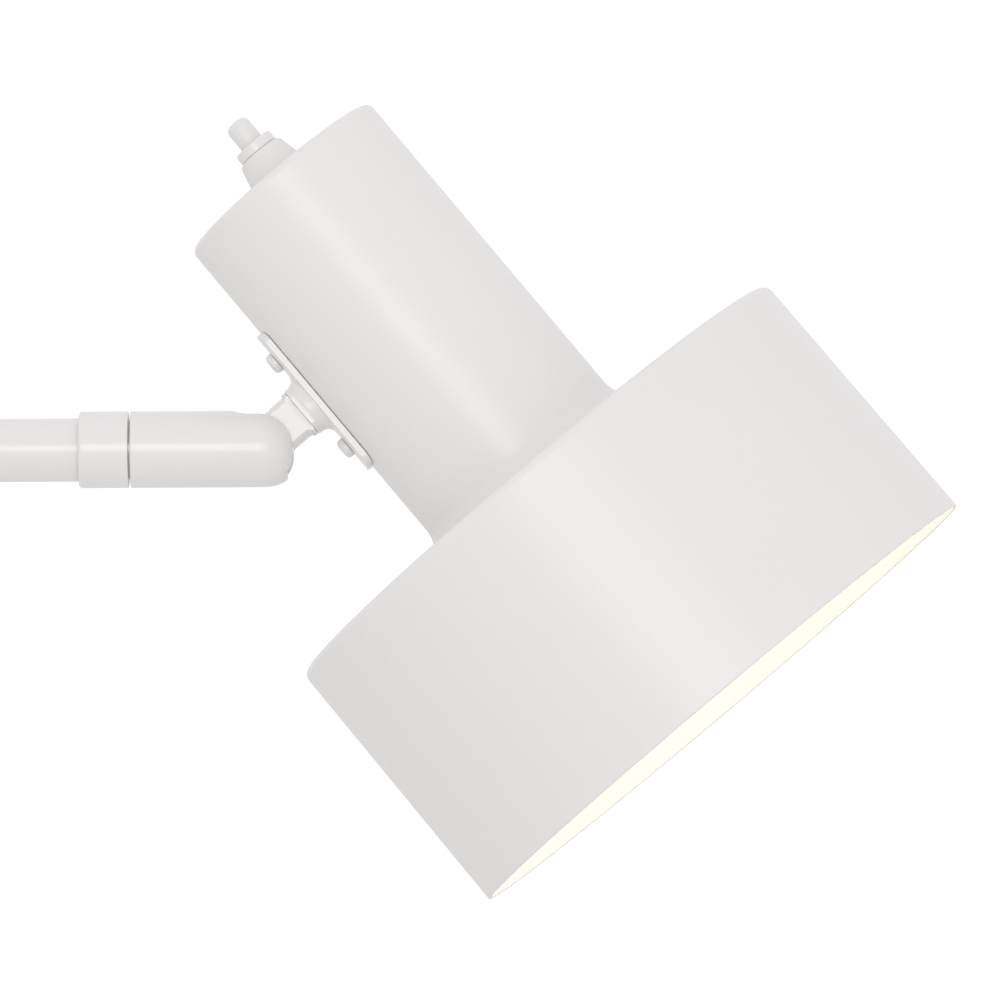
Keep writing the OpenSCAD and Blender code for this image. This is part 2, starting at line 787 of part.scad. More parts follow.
module holder_bracket() {
    leg_w = 16;
    leg_z0 = -plate_l / 2;
    color("silver") difference() {
        in_neck() union() {
            intersection() {
                translate([0, 0, leg_z0]) tube(seat_z - leg_z0, neck_bore_r, neck_bore_r - bracket_t);
                translate([-neck_r, -leg_w / 2, leg_z0]) cube([neck_r / 2, leg_w, seat_z - leg_z0]);
            }
            intersection() {
                translate([0, 0, seat_z - foot_t]) cylinder(h = foot_t, r = neck_bore_r - bracket_t / 2);
                union() {
                    translate([0, 0, leg_z0]) cylinder(h = 2 * plate_l, r = holder_r + 2.5);
                    translate([-neck_r, -leg_w / 2, leg_z0]) cube([neck_r, leg_w, 2 * plate_l]);
                }
            }
        }
        in_neck() cylinder(h = neck_top, r = thread_r);
        in_head() along_x(boss_x) cylinder(h = neck_r / 2, r = swivel_bush_r);
        screw_holes(screw_d / 2);
    }
}

// ---------- head: shade ----------

module shade_shell() {
    color("white") difference() {
        in_neck() rotate_extrude() polygon(shell_outline(0, 0));
        in_neck() rotate_extrude() polygon(shell_outline(shade_wall, over));
        in_neck() translate([0, 0, neck_top - 2 * shade_wall])
            cylinder(h = 2 * shade_wall + over, r = cap_hole_r);
        in_head() along_x(boss_x) cylinder(h = neck_r / 2, r = swivel_bush_r);
        screw_holes(screw_d / 2 + 0.1);
    }
}

// ---------- head: lampholder, switch and bulb ----------

function cap_outline(g) = concat(
    [[0, cap_top - g]],
    arc([cap_tip_r - 1.6, cap_top - 1.6], max(1.6 - g, 0.3), 90, 20, 5),
    [[cap_neck_r - g, cap_neck_z]],
    [for (i = [1:8]) let (a = 90 - i * 90 / 8)
        [cap_neck_r - g + (holder_r - cap_neck_r) * cos(a), skirt_z1 + (cap_neck_z - skirt_z1) * sin(a)]],
    [[0, skirt_z1]]
);

module lampholder_cap() {
    color("white") in_neck() difference() {
        rotate_extrude() polygon(cap_outline(0));
        translate([0, 0, -0.01]) rotate_extrude() polygon(cap_outline(holder_wall));
        cylinder(h = cap_top + over, r = switch_thread_r);
    }
}

module lampholder_body() {
    lead_in = head_lead_points[6] - head_lead_points[5];
    a = atan2(lead_in[1], lead_in[0]);
    color("white") difference() {
        in_neck() rotate_extrude() polygon([
            [core_r, skirt_z0], [thread_r - 0.4, skirt_z0], [thread_r, skirt_z0 + 0.4], [thread_r, seat_z],
            [holder_r, seat_z], [holder_r, skirt_z1], [core_r, skirt_z1]
        ]);
        in_head() translate(head_lead_points[5]) rotate([0, 90, a])
            cylinder(h = 16, r = head_lead_d / 2 + play);
    }
}

module lampholder_core() {
    color("ivory") in_neck() difference() {
        translate([0, 0, core_z0]) cylinder(h = core_z1 - core_z0, r = core_r);
        translate([0, 0, core_z0 - over])
            cylinder(h = contact_z + 2 - core_z0 + over, r = shell_in_r + shell_wall);
        for (s = [-1, 1]) translate([0, s * 8, contact_z]) cylinder(h = core_z1, r = 1.6);
        cylinder(h = core_z1 + over, r = contact_pin_r);
    }
}

module screw_shell() {
    z0 = core_z0 + 1;
    color("gold") in_neck() translate([0, 0, z0]) tube(contact_z - z0, shell_in_r + shell_wall, shell_in_r);
}

module centre_contact() {
    color("gold") in_neck() {
        translate([0, 0, contact_z]) cylinder(h = 1, r = 5);
        translate([0, 0, contact_z]) cylinder(h = core_z1 - contact_z + 1.5, r = contact_pin_r);
    }
}

module shade_ring() {
    color("white") in_neck() translate([0, 0, seat_z - foot_t - ring_h]) tube(ring_h, thread_r + 4, thread_r);
}

module switch_body() {
    color("ivory") in_neck() difference() {
        union() {
            translate([0, 0, switch_z0]) cylinder(h = switch_z1 - switch_z0, r = switch_r);
            translate([0, 0, switch_z1])
                cylinder(h = cap_top + switch_nut_h - 0.6 - switch_z1, r = switch_thread_r);
        }
        translate([0, 0, spring_z0]) cylinder(h = cap_top, r = button_d / 2 + run);
    }
}

module switch_nut() {
    r = switch_nut_d / 2;
    color("white") in_neck() translate([0, 0, cap_top]) rotate_extrude() polygon([
        [switch_thread_r, 0], [r, 0], [r, switch_nut_h - 0.5], [r - 0.5, switch_nut_h],
        [switch_thread_r, switch_nut_h]
    ]);
}

module switch_button() {
    r = button_d / 2;
    edge = 1.8;
    color("whitesmoke") in_neck() rotate_extrude() polygon(concat(
        [[0, button_z0], [r, button_z0]],
        arc([r - edge, button_tip - edge], edge, 0, 90, 8),
        [[0, button_tip]]
    ));
}

// Helical wire swept along its own centreline
module button_spring() {
    turns = 6;
    steps = 12;
    sides = 6;
    wire_r = 0.3;
    coil_r = button_d / 2 - wire_r - 0.3;
    z0 = spring_z0 + wire_r + 0.1;
    rise = button_z0 - wire_r - 0.1 - z0;
    n = turns * steps;
    points = [for (i = [0:n], k = [0:sides - 1]) let (a = i * 360 / steps, b = k * 360 / sides)
        [(coil_r + wire_r * cos(b)) * cos(a), (coil_r + wire_r * cos(b)) * sin(a),
            z0 + rise * i / n + wire_r * sin(b)]];
    walls = [for (i = [0:n - 1], k = [0:sides - 1]) let (j = (k + 1) % sides)
        [i * sides + k, i * sides + j, (i + 1) * sides + j, (i + 1) * sides + k]];
    ends = [[for (k = [0:sides - 1]) sides - 1 - k], [for (k = [0:sides - 1]) n * sides + k]];
    color("silver") in_neck() polyhedron(points, concat(walls, ends), convexity = 6);
}

module bulb_cap() {
    color("silver") in_neck() {
        translate([0, 0, contact_z - 1 - bulb_cap_l]) cylinder(h = bulb_cap_l - 2, r = bulb_cap_r);
        translate([0, 0, contact_z - 3]) cylinder(h = 2, r1 = bulb_cap_r - 2, r2 = 6);
        translate([0, 0, contact_z - 3]) cylinder(h = 3, r = 4);
    }
}

module bulb_glass() {
    color("lightyellow") in_neck() difference() {
        rotate_extrude() polygon(bulb_outline(0));
        rotate_extrude() polygon(bulb_outline(glass_wall));
    }
}

module head_lead() {
    color("dimgray") in_head() sweep(head_lead_points, head_lead_d / 2);
}

base_pad();
base_weight();
base_cover();
cable_gland();
base_nut();
base_washer();
post_stud();
post_foot_plug();
post_flange();
post_tube();
post_head();
post_washer();
post_cap();
post_lead();
post_hub();
post_bush();
lower_arm_tube();
elbow_lower_hub();
elbow_bush();
lower_arm_lead();
elbow_stem();
elbow_upper_hub();
elbow_washer();
elbow_nut();
elbow_cap();
upper_arm_tube();
arm_collar();
roll_spigot();
upper_arm_lead();
knuckle_housing();
roll_grub_screw();
knuckle_screw();
friction_washers();
knuckle_tongue();
swivel_washer();
swivel_spring_washer();
swivel_nut();
mounting_plate();
plate_screws();
swivel_bush();
holder_bracket();
shade_shell();
lampholder_cap();
lampholder_body();
lampholder_core();
screw_shell();
centre_contact();
shade_ring();
switch_body();
switch_nut();
bulb_cap();
bulb_glass();
head_lead();
switch_button();
button_spring();
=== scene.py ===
import json
import math

import bmesh
import bpy
from mathutils import Matrix, Vector


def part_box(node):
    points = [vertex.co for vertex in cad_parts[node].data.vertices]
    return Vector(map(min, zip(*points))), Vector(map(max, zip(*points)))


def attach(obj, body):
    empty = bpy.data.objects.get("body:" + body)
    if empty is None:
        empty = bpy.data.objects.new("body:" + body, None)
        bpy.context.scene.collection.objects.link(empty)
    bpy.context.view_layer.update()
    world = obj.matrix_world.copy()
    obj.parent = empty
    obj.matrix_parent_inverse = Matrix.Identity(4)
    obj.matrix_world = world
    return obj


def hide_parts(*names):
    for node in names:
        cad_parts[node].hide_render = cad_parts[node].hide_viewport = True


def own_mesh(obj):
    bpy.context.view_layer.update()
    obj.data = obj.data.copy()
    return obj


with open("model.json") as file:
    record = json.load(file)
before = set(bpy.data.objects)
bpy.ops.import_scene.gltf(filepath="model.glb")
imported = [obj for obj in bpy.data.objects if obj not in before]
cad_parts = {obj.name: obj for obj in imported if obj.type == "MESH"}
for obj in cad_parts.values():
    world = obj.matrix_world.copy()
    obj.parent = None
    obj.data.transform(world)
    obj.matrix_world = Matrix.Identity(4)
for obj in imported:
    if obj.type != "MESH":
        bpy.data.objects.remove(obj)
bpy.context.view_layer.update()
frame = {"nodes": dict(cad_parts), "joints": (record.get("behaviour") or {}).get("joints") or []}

scene = bpy.context.scene
scene.view_settings.view_transform = "Standard"

# ---------- camera ----------
# A long lens a little below the head, looking slightly up at it, so that the head fills the view.
# Its place comes from the tilt joint, which the neck and the arm meet at.
joints = {joint["name"]: joint for joint in frame["joints"]}
tilt_point = Vector(joints["head_tilt"]["pos_m"])
aim_offset = Vector((0.06093, 0, -0.01332))
camera_distance = 2.8033
yaw, pitch, roll = (math.radians(angle) for angle in (0.421, 4.044, 0.318))

camera_data = bpy.data.cameras.new("camera")
camera_data.sensor_width = 36
camera_data.lens = 399.5
camera_data.clip_end = 100
camera = bpy.data.objects.new("camera", camera_data)
heading = Matrix.Rotation(yaw, 4, "Z") @ Matrix.Rotation(pitch, 4, "X") @ Matrix.Rotation(roll, 4, "Y")
looking = heading @ Vector((0, 1, 0))
level = Matrix.Rotation(math.pi / 2, 4, "X")
camera.matrix_world = (
    Matrix.Translation(tilt_point + aim_offset - looking * camera_distance) @ heading @ level
)
scene.collection.objects.link(camera)
scene.camera = camera

# ---------- studio ----------
# A pale floor, an even white surround, and two soft boxes in front, beside the camera.
# The surround is pure white where it is seen and dimmer where it lights the lamp.
world = bpy.data.worlds.new("surround")
world.use_nodes = True
scene.world = world
nodes, links = world.node_tree.nodes, world.node_tree.links
seen = nodes["Background"]
seen.inputs["Color"].default_value = (1, 1, 1, 1)
seen.inputs["Strength"].default_value = 1.05
lighting = nodes.new("ShaderNodeBackground")
lighting.inputs["Color"].default_value = (1.0, 0.997, 0.997, 1)
lighting.inputs["Strength"].default_value = 0.885
light_path = nodes.new("ShaderNodeLightPath")
choose = nodes.new("ShaderNodeMixShader")
links.new(light_path.outputs["Is Camera Ray"], choose.inputs["Fac"])
links.new(lighting.outputs["Background"], choose.inputs[1])
links.new(seen.outputs["Background"], choose.inputs[2])
links.new(choose.outputs["Shader"], nodes["World Output"].inputs["Surface"])


def soft_box(name, rightward, upward, distance, width, height, power):
    """A rectangular area light beside the camera, that many radians to its right and above it"""
    data = bpy.data.lights.new(name, "AREA")
    data.shape = "RECTANGLE"
    data.size = width
    data.size_y = height
    data.energy = power
    light = bpy.data.objects.new(name, data)
    towards = (heading @ Vector((rightward, -1, upward))).normalized()
    light.rotation_mode = "QUATERNION"
    light.rotation_quaternion = towards.to_track_quat("Z", "Y")
    light.location = tilt_point + aim_offset + towards * distance
    scene.collection.objects.link(light)


soft_box("front_box", 0.03, 0.07, 3.2, 2.4, 1.5, 16.5)
soft_box("strip_box", -0.055, 0.05, 3.1, 0.48, 1.28, 2.1)

floor_mesh = bmesh.new()
bmesh.ops.create_grid(floor_mesh, x_segments=8, y_segments=8, size=20)
floor_data = bpy.data.meshes.new("floor")
floor_mesh.to_mesh(floor_data)
floor_mesh.free()
floor = bpy.data.objects.new("floor", floor_data)
scene.collection.objects.link(floor)
floor_material = bpy.data.materials.new("pale_floor")
floor_material.use_nodes = True
floor_shader = floor_material.node_tree.nodes["Principled BSDF"]
floor_shader.inputs["Base Color"].default_value = (0.86, 0.86, 0.85, 1)
floor_shader.inputs["Roughness"].default_value = 0.9
floor_shader.inputs["Specular IOR Level"].default_value = 0.1
floor.data.materials.append(floor_material)

# ---------- base pad ----------
# A disc of grey wool felt, die cut and glued under the base so that it doesn't scratch the desk.
# Its cut edge shows as a dark line between the base cover and the desk.
MM = 0.001


def place(origin=(0, 0, 0), along=(0, 0, 1), side=(1, 0, 0)):
    """Puts a shape drawn in millimetres at an origin in metres, its Z along one way and its X on a side"""
    z = Vector(along).normalized()
    x = (Vector(side) - z * z.dot(Vector(side))).normalized()
    y = z.cross(x)
    turned = Matrix((x, y, z)).transposed().to_4x4()
    return Matrix.Translation(Vector(origin)) @ turned @ Matrix.Scale(MM, 4)


def outline(corners, closed):
    """A wire through (x, z, rounding) corners, each rounded to an arc of that radius"""
    shape = bmesh.new()
    verts = [shape.verts.new((x, 0, z)) for x, z, _ in corners]
    pairs = list(zip(verts, verts[1:]))
    if closed:
        pairs.append((verts[-1], verts[0]))
    for pair in pairs:
        shape.edges.new(pair)
    for vert, (_, _, rounding) in zip(verts, corners):
        if rounding:
            arms = [edge.other_vert(vert).co - vert.co for edge in vert.link_edges]
            reach = rounding / math.tan(arms[0].angle(arms[1]) / 2)
            bmesh.ops.bevel(
                shape, geom=[vert], offset=reach, offset_type="OFFSET", affect="VERTICES",
                segments=max(3, min(16, round(2 + rounding * 1.5))), profile=0.5, material=-1,
            )
    return shape


def lathe(corners, steps=96, closed=True):
    """Turns an outline of (radius, height, rounding) corners about Z. A closed outline leaves a bore."""
    shape = outline(corners, closed)
    bmesh.ops.spin(
        shape, geom=shape.verts[:] + shape.edges[:], cent=(0, 0, 0), axis=(0, 0, 1),
        angle=math.tau, steps=steps, use_merge=True, use_duplicate=False,
    )
    bmesh.ops.remove_doubles(shape, verts=shape.verts[:], dist=1e-5)
    bmesh.ops.recalc_face_normals(shape, faces=shape.faces[:])
    return shape


def piece(name, shape, matrix, material, body, slot, *stands_for, edge=0):
    """Makes a finished piece of a shape, put in place in its mesh, that rides on a body.
    Sharp edges are broken to a small radius where edge gives one, in millimetres."""
    bmesh.ops.transform(shape, matrix=matrix, verts=shape.verts[:])
    for face in shape.faces:
        face.smooth = True
    for line in shape.edges:
        line.smooth = line.calc_face_angle(0) < math.radians(35)
    data = bpy.data.meshes.new(name)
    shape.to_mesh(data)
    shape.free()
    data.materials.append(material)
    made = bpy.data.objects.new(name, data)
    scene.collection.objects.link(made)
    if edge:
        broken = made.modifiers.new("broken_edges", "BEVEL")
        broken.width = edge * MM
        broken.segments = 3
        broken.limit_method = "ANGLE"
        broken.angle_limit = math.radians(35)
        broken.use_clamp_overlap = True
    even = made.modifiers.new("even_shading", "WEIGHTED_NORMAL")
    even.keep_sharp = not edge
    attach(made, body)
    if stands_for:
        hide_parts(*stands_for)
    return made


def group_sockets(group, inputs, outputs):
    """Adds named sockets to a shader node group: inputs are (name, kind, value), outputs (name, kind)"""
    for label, kind, value in inputs:
        socket = group.interface.new_socket(label, in_out="INPUT", socket_type=kind)
        socket.default_value = value
    for label, kind in outputs:
        group.interface.new_socket(label, in_out="OUTPUT", socket_type=kind)


def make_speckle():
    """A group that varies a colour, a roughness and a height with two sizes of noise"""
    group = bpy.data.node_groups.new("speckle", "ShaderNodeTree")
    group_sockets(
        group,
        [
            ("Colour", "NodeSocketColor", (0.8, 0.8, 0.8, 1)),
            ("Dark", "NodeSocketColor", (0.7, 0.7, 0.7, 1)),
            ("Roughness", "NodeSocketFloat", 0.4),
            ("Roughness Spread", "NodeSocketFloat", 0.1),
            ("Fine Scale", "NodeSocketFloat", 900.0),
            ("Broad Scale", "NodeSocketFloat", 25.0),
        ],
        [("Colour", "NodeSocketColor"), ("Roughness", "NodeSocketFloat"), ("Height", "NodeSocketFloat")],
    )
    nodes, links = group.nodes, group.links
    inside = nodes.new("NodeGroupInput").outputs
    outside = nodes.new("NodeGroupOutput").inputs
    coordinates = nodes.new("ShaderNodeTexCoord").outputs["Object"]
    fine = nodes.new("ShaderNodeTexNoise")
    fine.inputs["Detail"].default_value = 3
    broad = nodes.new("ShaderNodeTexNoise")
    broad.inputs["Detail"].default_value = 4
    for noise, scale in ((fine, "Fine Scale"), (broad, "Broad Scale")):
        links.new(coordinates, noise.inputs["Vector"])
        links.new(inside[scale], noise.inputs["Scale"])
    blend = nodes.new("ShaderNodeMix")
    blend.data_type = "RGBA"
    share = nodes.new("ShaderNodeMapRange")
    share.inputs["From Min"].default_value = 0.35
    share.inputs["From Max"].default_value = 0.7
    links.new(broad.outputs["Fac"], share.inputs["Value"])
    links.new(share.outputs["Result"], blend.inputs["Factor"])
    links.new(inside["Colour"], blend.inputs["A"])
    links.new(inside["Dark"], blend.inputs["B"])
    links.new(blend.outputs["Result"], outside["Colour"])
    centred = nodes.new("ShaderNodeMath")
    centred.operation = "SUBTRACT"
    centred.inputs[1].default_value = 0.5
    links.new(broad.outputs["Fac"], centred.inputs[0])
    spread = nodes.new("ShaderNodeMath")
    spread.operation = "MULTIPLY_ADD"
    links.new(centred.outputs["Value"], spread.inputs[0])
    links.new(inside["Roughness Spread"], spread.inputs[1])
    links.new(inside["Roughness"], spread.inputs[2])
    links.new(spread.outputs["Value"], outside["Roughness"])
    links.new(fine.outputs["Fac"], outside["Height"])
    return group


speckle = make_speckle()


def speckled(name, colour, dark, roughness, spread, fine, broad, bump, depth):
    """A material whose colour, roughness and fine relief come from the speckle group"""
    made = bpy.data.materials.new(name)
    made.use_nodes = True
    tree = made.node_tree
    shader = tree.nodes["Principled BSDF"]
    effect = tree.nodes.new("ShaderNodeGroup")
    effect.node_tree = speckle
    for socket, value in (
        ("Colour", (*colour, 1)), ("Dark", (*dark, 1)), ("Roughness", roughness),
        ("Roughness Spread", spread), ("Fine Scale", fine), ("Broad Scale", broad),
    ):
        effect.inputs[socket].default_value = value
    relief = tree.nodes.new("ShaderNodeBump")
    relief.inputs["Strength"].default_value = bump
    relief.inputs["Distance"].default_value = depth
    tree.links.new(effect.outputs["Colour"], shader.inputs["Base Color"])
    tree.links.new(effect.outputs["Roughness"], shader.inputs["Roughness"])
    tree.links.new(effect.outputs["Height"], relief.inputs["Height"])
    tree.links.new(relief.outputs["Normal"], shader.inputs["Normal"])
    return made, shader


felt, felt_shader = speckled(
    "felt", (0.10, 0.10, 0.105), (0.06, 0.06, 0.065), 0.95, 0.05, 2200, 300, 0.8, 0.0004
)
felt_shader.inputs["Sheen Weight"].default_value = 0.4
felt_shader.inputs["Specular IOR Level"].default_value = 0.1
PAD_R, PAD_T = 108, 2
piece(
    "felt_pad", lathe([(0, 0, 0), (PAD_R, 0, 0.5), (PAD_R, PAD_T, 0.5), (0, PAD_T, 0)], 128, False),
    place(), felt, "base", "felt", "base_pad",
)

# ---------- base weight ----------
# A disc of grey cast iron under the cover, which keeps the reaching arms from tipping the lamp.
# The cover hides it, and its rough cast skin is left unpainted.
cast_iron, cast_iron_shader = speckled(
    "cast_iron", (0.16, 0.16, 0.165), (0.09, 0.09, 0.095), 0.7, 0.2, 700, 60, 0.7, 0.0003
)
cast_iron_shader.inputs["Metallic"].default_value = 0.7


def finish_nodes(material, *names):
    """Gives CAD nodes their real material"""
    for name in names:
        mesh = frame["nodes"][name].data
        mesh.materials.clear()
        mesh.materials.append(material)


finish_nodes(cast_iron, "base_weight")

# ---------- base cover ----------
# A spun steel dish with a rounded edge, in white enamel, that drops over the weight.
# The hole for the cable gland is punched through its rim at the back.
BASE_R, BASE_H = 110, 28
COVER_WALL, COVER_HOLE_R, COVER_EDGE = 1.5, 5, 6


def enamel(name, colour, dark, roughness, coat):
    """White stoved enamel with the faint ripple of a sprayed coat"""
    made, shader = speckled(name, colour, dark, roughness, 0.06, 420, 14, 0.04, 0.0001)
    shader.inputs["Specular IOR Level"].default_value = 0.5
    shader.inputs["Coat Weight"].default_value = coat
    shader.inputs["Coat Roughness"].default_value = 0.12
    return made


white_paint = enamel("white_paint", (0.83, 0.815, 0.811), (0.815, 0.80, 0.796), 0.3, 0.65)


def combine(shape, tool, operation):
    """Cuts a tool shape out of a shape, keeps what they share, or joins them"""
    made = []
    for label, part in (("blank", shape), ("tool", tool)):
        data = bpy.data.meshes.new(label)
        part.to_mesh(data)
        part.free()
        blank = bpy.data.objects.new(label, data)
        scene.collection.objects.link(blank)
        made.append(blank)
    blank, cutter = made
    step = blank.modifiers.new("step", "BOOLEAN")
    step.operation = operation
    step.object = cutter
    step.solver = "EXACT"
    graph = bpy.context.evaluated_depsgraph_get()
    result = bmesh.new()
    result.from_mesh(blank.evaluated_get(graph).to_mesh())
    for part in made:
        data = part.data
        bpy.data.objects.remove(part)
        bpy.data.meshes.remove(data)
    bmesh.ops.remove_doubles(result, verts=result.verts[:], dist=1e-4)
    return result


def cut(shape, *tools):
    """Cuts one tool shape after another out of a shape"""
    for tool in tools:
        shape = combine(shape, tool, "DIFFERENCE")
    return shape


def turn(shape, along, start=(0, 0, 0)):
    """Lays a shape that is drawn on Z along another direction, from a start point"""
    swing = Vector((0, 0, 1)).rotation_difference(Vector(along)).to_matrix().to_4x4()
    bmesh.ops.transform(shape, matrix=Matrix.Translation(start) @ swing, verts=shape.verts[:])
    return shape


def drill(radius, start, along, depth, steps=64):
    """A round cutter that goes in from a start point"""
    shape = bmesh.new()
    bmesh.ops.create_cone(
        shape, cap_ends=True, segments=steps, radius1=radius, radius2=radius, depth=depth,
        matrix=Matrix.Translation((0, 0, depth / 2)),
    )
    return turn(shape, along, start)


GLAND_Z = 10
GLAND_R = 5.45
cover = lathe([
    (COVER_HOLE_R, BASE_H, 0.3), (BASE_R, BASE_H, COVER_EDGE), (BASE_R, PAD_T, 0.4),
    (BASE_R - COVER_WALL, PAD_T, 0.4), (BASE_R - COVER_WALL, BASE_H - COVER_WALL, COVER_EDGE - COVER_WALL),
    (COVER_HOLE_R, BASE_H - COVER_WALL, 0.3),
], 160)
cover = cut(cover, drill(GLAND_R, (-BASE_R - 5, 0, GLAND_Z), (1, 0, 0), 15))
piece("cover_dish", cover, place(), white_paint, "base", "white_paint", "base_cover")

# ---------- cable gland ----------
# A moulded white nylon bush that snaps into the cover's rim and guards the mains lead.
# Its flange is rounded where the lead would bend over it.
nylon, nylon_shader = speckled(
    "nylon", (0.72, 0.70, 0.66), (0.68, 0.66, 0.62), 0.42, 0.1, 900, 60, 0.15, 0.0001
)
nylon_shader.inputs["Subsurface Weight"].default_value = 0.15
nylon_shader.inputs["Subsurface Radius"].default_value = (0.002, 0.0018, 0.0015)
nylon_shader.inputs["Subsurface Scale"].default_value = 0.5
GLAND_FLANGE_T, GLAND_FLANGE_R = 2, 7.25
GLAND_BORE_R, GLAND_L, GLAND_GRIP = 3.25, 9, 2.3
piece(
    "gland_bush",
    lathe([
        (GLAND_BORE_R, -GLAND_L, 0.4), (GLAND_BORE_R, 0, 1.2), (GLAND_FLANGE_R, 0, 1),
        (GLAND_FLANGE_R, -GLAND_GRIP, 0.2), (GLAND_R, -GLAND_GRIP, 0), (GLAND_R, -GLAND_L, 0.5),
    ], 64),
    place(((-BASE_R - GLAND_FLANGE_T) * MM, 0, GLAND_Z * MM), (-1, 0, 0), (0, 0, 1)),
    nylon, "base", "nylon", "cable_gland",
)

# ---------- base fixings ----------
# Zinc plated steel: a hollow threaded rod, a plug in the post's foot, a washer and a hexagon nut.
# The nut sits in the weight's pocket and draws post, cover and weight together.
zinc_steel, zinc_shader = speckled(
    "zinc_steel", (0.58, 0.58, 0.57), (0.47, 0.47, 0.46), 0.34, 0.2, 1600, 130, 0.12, 0.00005
)
zinc_shader.inputs["Metallic"].default_value = 1
finish_nodes(zinc_steel, "base_nut", "base_washer", "post_stud", "post_foot_plug")

# ---------- post flange ----------
# A turned foot in white enamel, slipped over the post, that hides the hole in the cover.
# Its hollow flank runs up into a short collar.
POST_R = 9
FLANGE_R, FLANGE_H, FLANGE_LIP = 19, 12, 2.5
FLANGE_NECK_R, FLANGE_SWEEP = POST_R + 1.2, 8


def upright(node):
    """The place of an upright piece, on the axis and at the foot of its CAD node"""
    low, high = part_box(node)
    return place(((low[0] + high[0]) / 2, 0, low[2]))


def length(node, axis):
    """How long a node is along an axis, in millimetres"""
    low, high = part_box(node)
    return (high[axis] - low[axis]) / MM


piece(
    "foot_flange",
    lathe([
        (POST_R, 0, 0.2), (FLANGE_R, 0, 0.3), (FLANGE_R, FLANGE_LIP, 0.8),
        (FLANGE_NECK_R, FLANGE_LIP, FLANGE_SWEEP), (FLANGE_NECK_R, FLANGE_H, 0.4), (POST_R, FLANGE_H, 0.2),
    ]),
    upright("post_flange"), white_paint, "base", "white_paint", "post_flange",
)

# ---------- post ----------
# A drawn steel tube in white enamel, standing in the flange, with the mains flex inside.
# A steel head is pressed into its top, and carries the arms on a hollow pivot.
TUBE_WALL = 1.5


def tube(radius, tall):
    """A tube with its ends faced off"""
    bore = radius - TUBE_WALL
    return lathe([(bore, 0, 0.2), (radius, 0, 0.2), (radius, tall, 0.2), (bore, tall, 0.2)])


piece(
    "post_pipe", tube(POST_R, length("post_tube", 2)), upright("post_tube"),
    white_paint, "base", "white_paint", "post_tube",
)
finish_nodes(zinc_steel, "post_head")

# ---------- pivot caps ----------
# Turned white caps that close the hollow pivots over the post and the elbow.
# Each has a short plug that presses into the pivot's bore.
CAP_R, CAP_T = 12, 2.5
PLUG_R, PLUG_L = 3.5, 4


def pivot_cap():
    """A cap drawn from the foot of its plug"""
    return lathe([
        (0, 0, 0), (PLUG_R, 0, 0.4), (PLUG_R, PLUG_L, 0.2), (CAP_R, PLUG_L, 0.3),
        (CAP_R, PLUG_L + CAP_T, 1), (0, PLUG_L + CAP_T, 0),
    ], closed=False)


for name, node, body in (
    ("post_button_cap", "post_cap", "base"), ("elbow_button_cap", "elbow_cap", "upper_arm"),
):
    piece(name, pivot_cap(), upright(node), white_paint, body, "white_paint", node)

# ---------- bushes and washers ----------
# Natural nylon bushes line the hubs, and nylon washers keep the enamel of stacked hubs apart.
# They run dry and set the friction that holds the arms where they are put.
finish_nodes(nylon, "post_washer", "post_bush", "elbow_bush", "elbow_washer", "friction_washers")

# ---------- arm hubs ----------
# Three turned aluminium hubs in white enamel: two on the lower arm and one on the upper arm.
# Each is cross drilled for its arm tube, which is pressed in and bonded.
HUB_R, HUB_H = 14, 22
ARM_R = 8
TUBE_SEAT = 9.5
FLEX_WAY_R = 2.75


def hub(bore, side):
    """A hub with a bore on its axis and the socket of an arm tube on one side"""
    shape = lathe([(bore, 0, 0.4), (HUB_R, 0, 0.8), (HUB_R, HUB_H, 0.8), (bore, HUB_H, 0.4)], 128)
    return cut(
        shape,
        drill(ARM_R, (side * TUBE_SEAT, 0, HUB_H / 2), (side, 0, 0), HUB_R, 96),
        drill(FLEX_WAY_R, (0, 0, HUB_H / 2), (side, 0, 0), HUB_R),
    )


for name, node, body, bore, side in (
    ("shoulder_hub", "post_hub", "lower_arm", 8, 1),
    ("elbow_hub_low", "elbow_lower_hub", "lower_arm", 8, -1),
    ("elbow_hub_high", "elbow_upper_hub", "upper_arm", 6, 1),
):
    piece(name, hub(bore, side), upright(node), white_paint, body, "white_paint", node)

# ---------- arm tubes ----------
# Two drawn aluminium tubes in white enamel, one above the other, that carry the flex inside.
# The upper one ends in the collar at the knuckle.


def lying(node):
    """The place of a piece that lies along the arms, at its CAD node's end nearest the post"""
    low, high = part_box(node)
    return place((low[0], 0, (low[2] + high[2]) / 2), (1, 0, 0), (0, 0, 1))


for name, node, body in (
    ("arm_pipe_low", "lower_arm_tube", "lower_arm"), ("arm_pipe_high", "upper_arm_tube", "upper_arm"),
):
    piece(name, tube(ARM_R, length(node, 0)), lying(node), white_paint, body, "white_paint", node)

# ---------- flex ----------
# Round two-core flex in light grey sheathing, laid inside the tubes all the way to the head.
# Each length rides with the part that it lies in.
flex, flex_shader = speckled(
    "flex", (0.52, 0.52, 0.51), (0.46, 0.46, 0.45), 0.5, 0.1, 1200, 90, 0.2, 0.0001
)
flex_shader.inputs["Specular IOR Level"].default_value = 0.4
finish_nodes(flex, "post_lead", "lower_arm_lead", "upper_arm_lead", "head_lead")

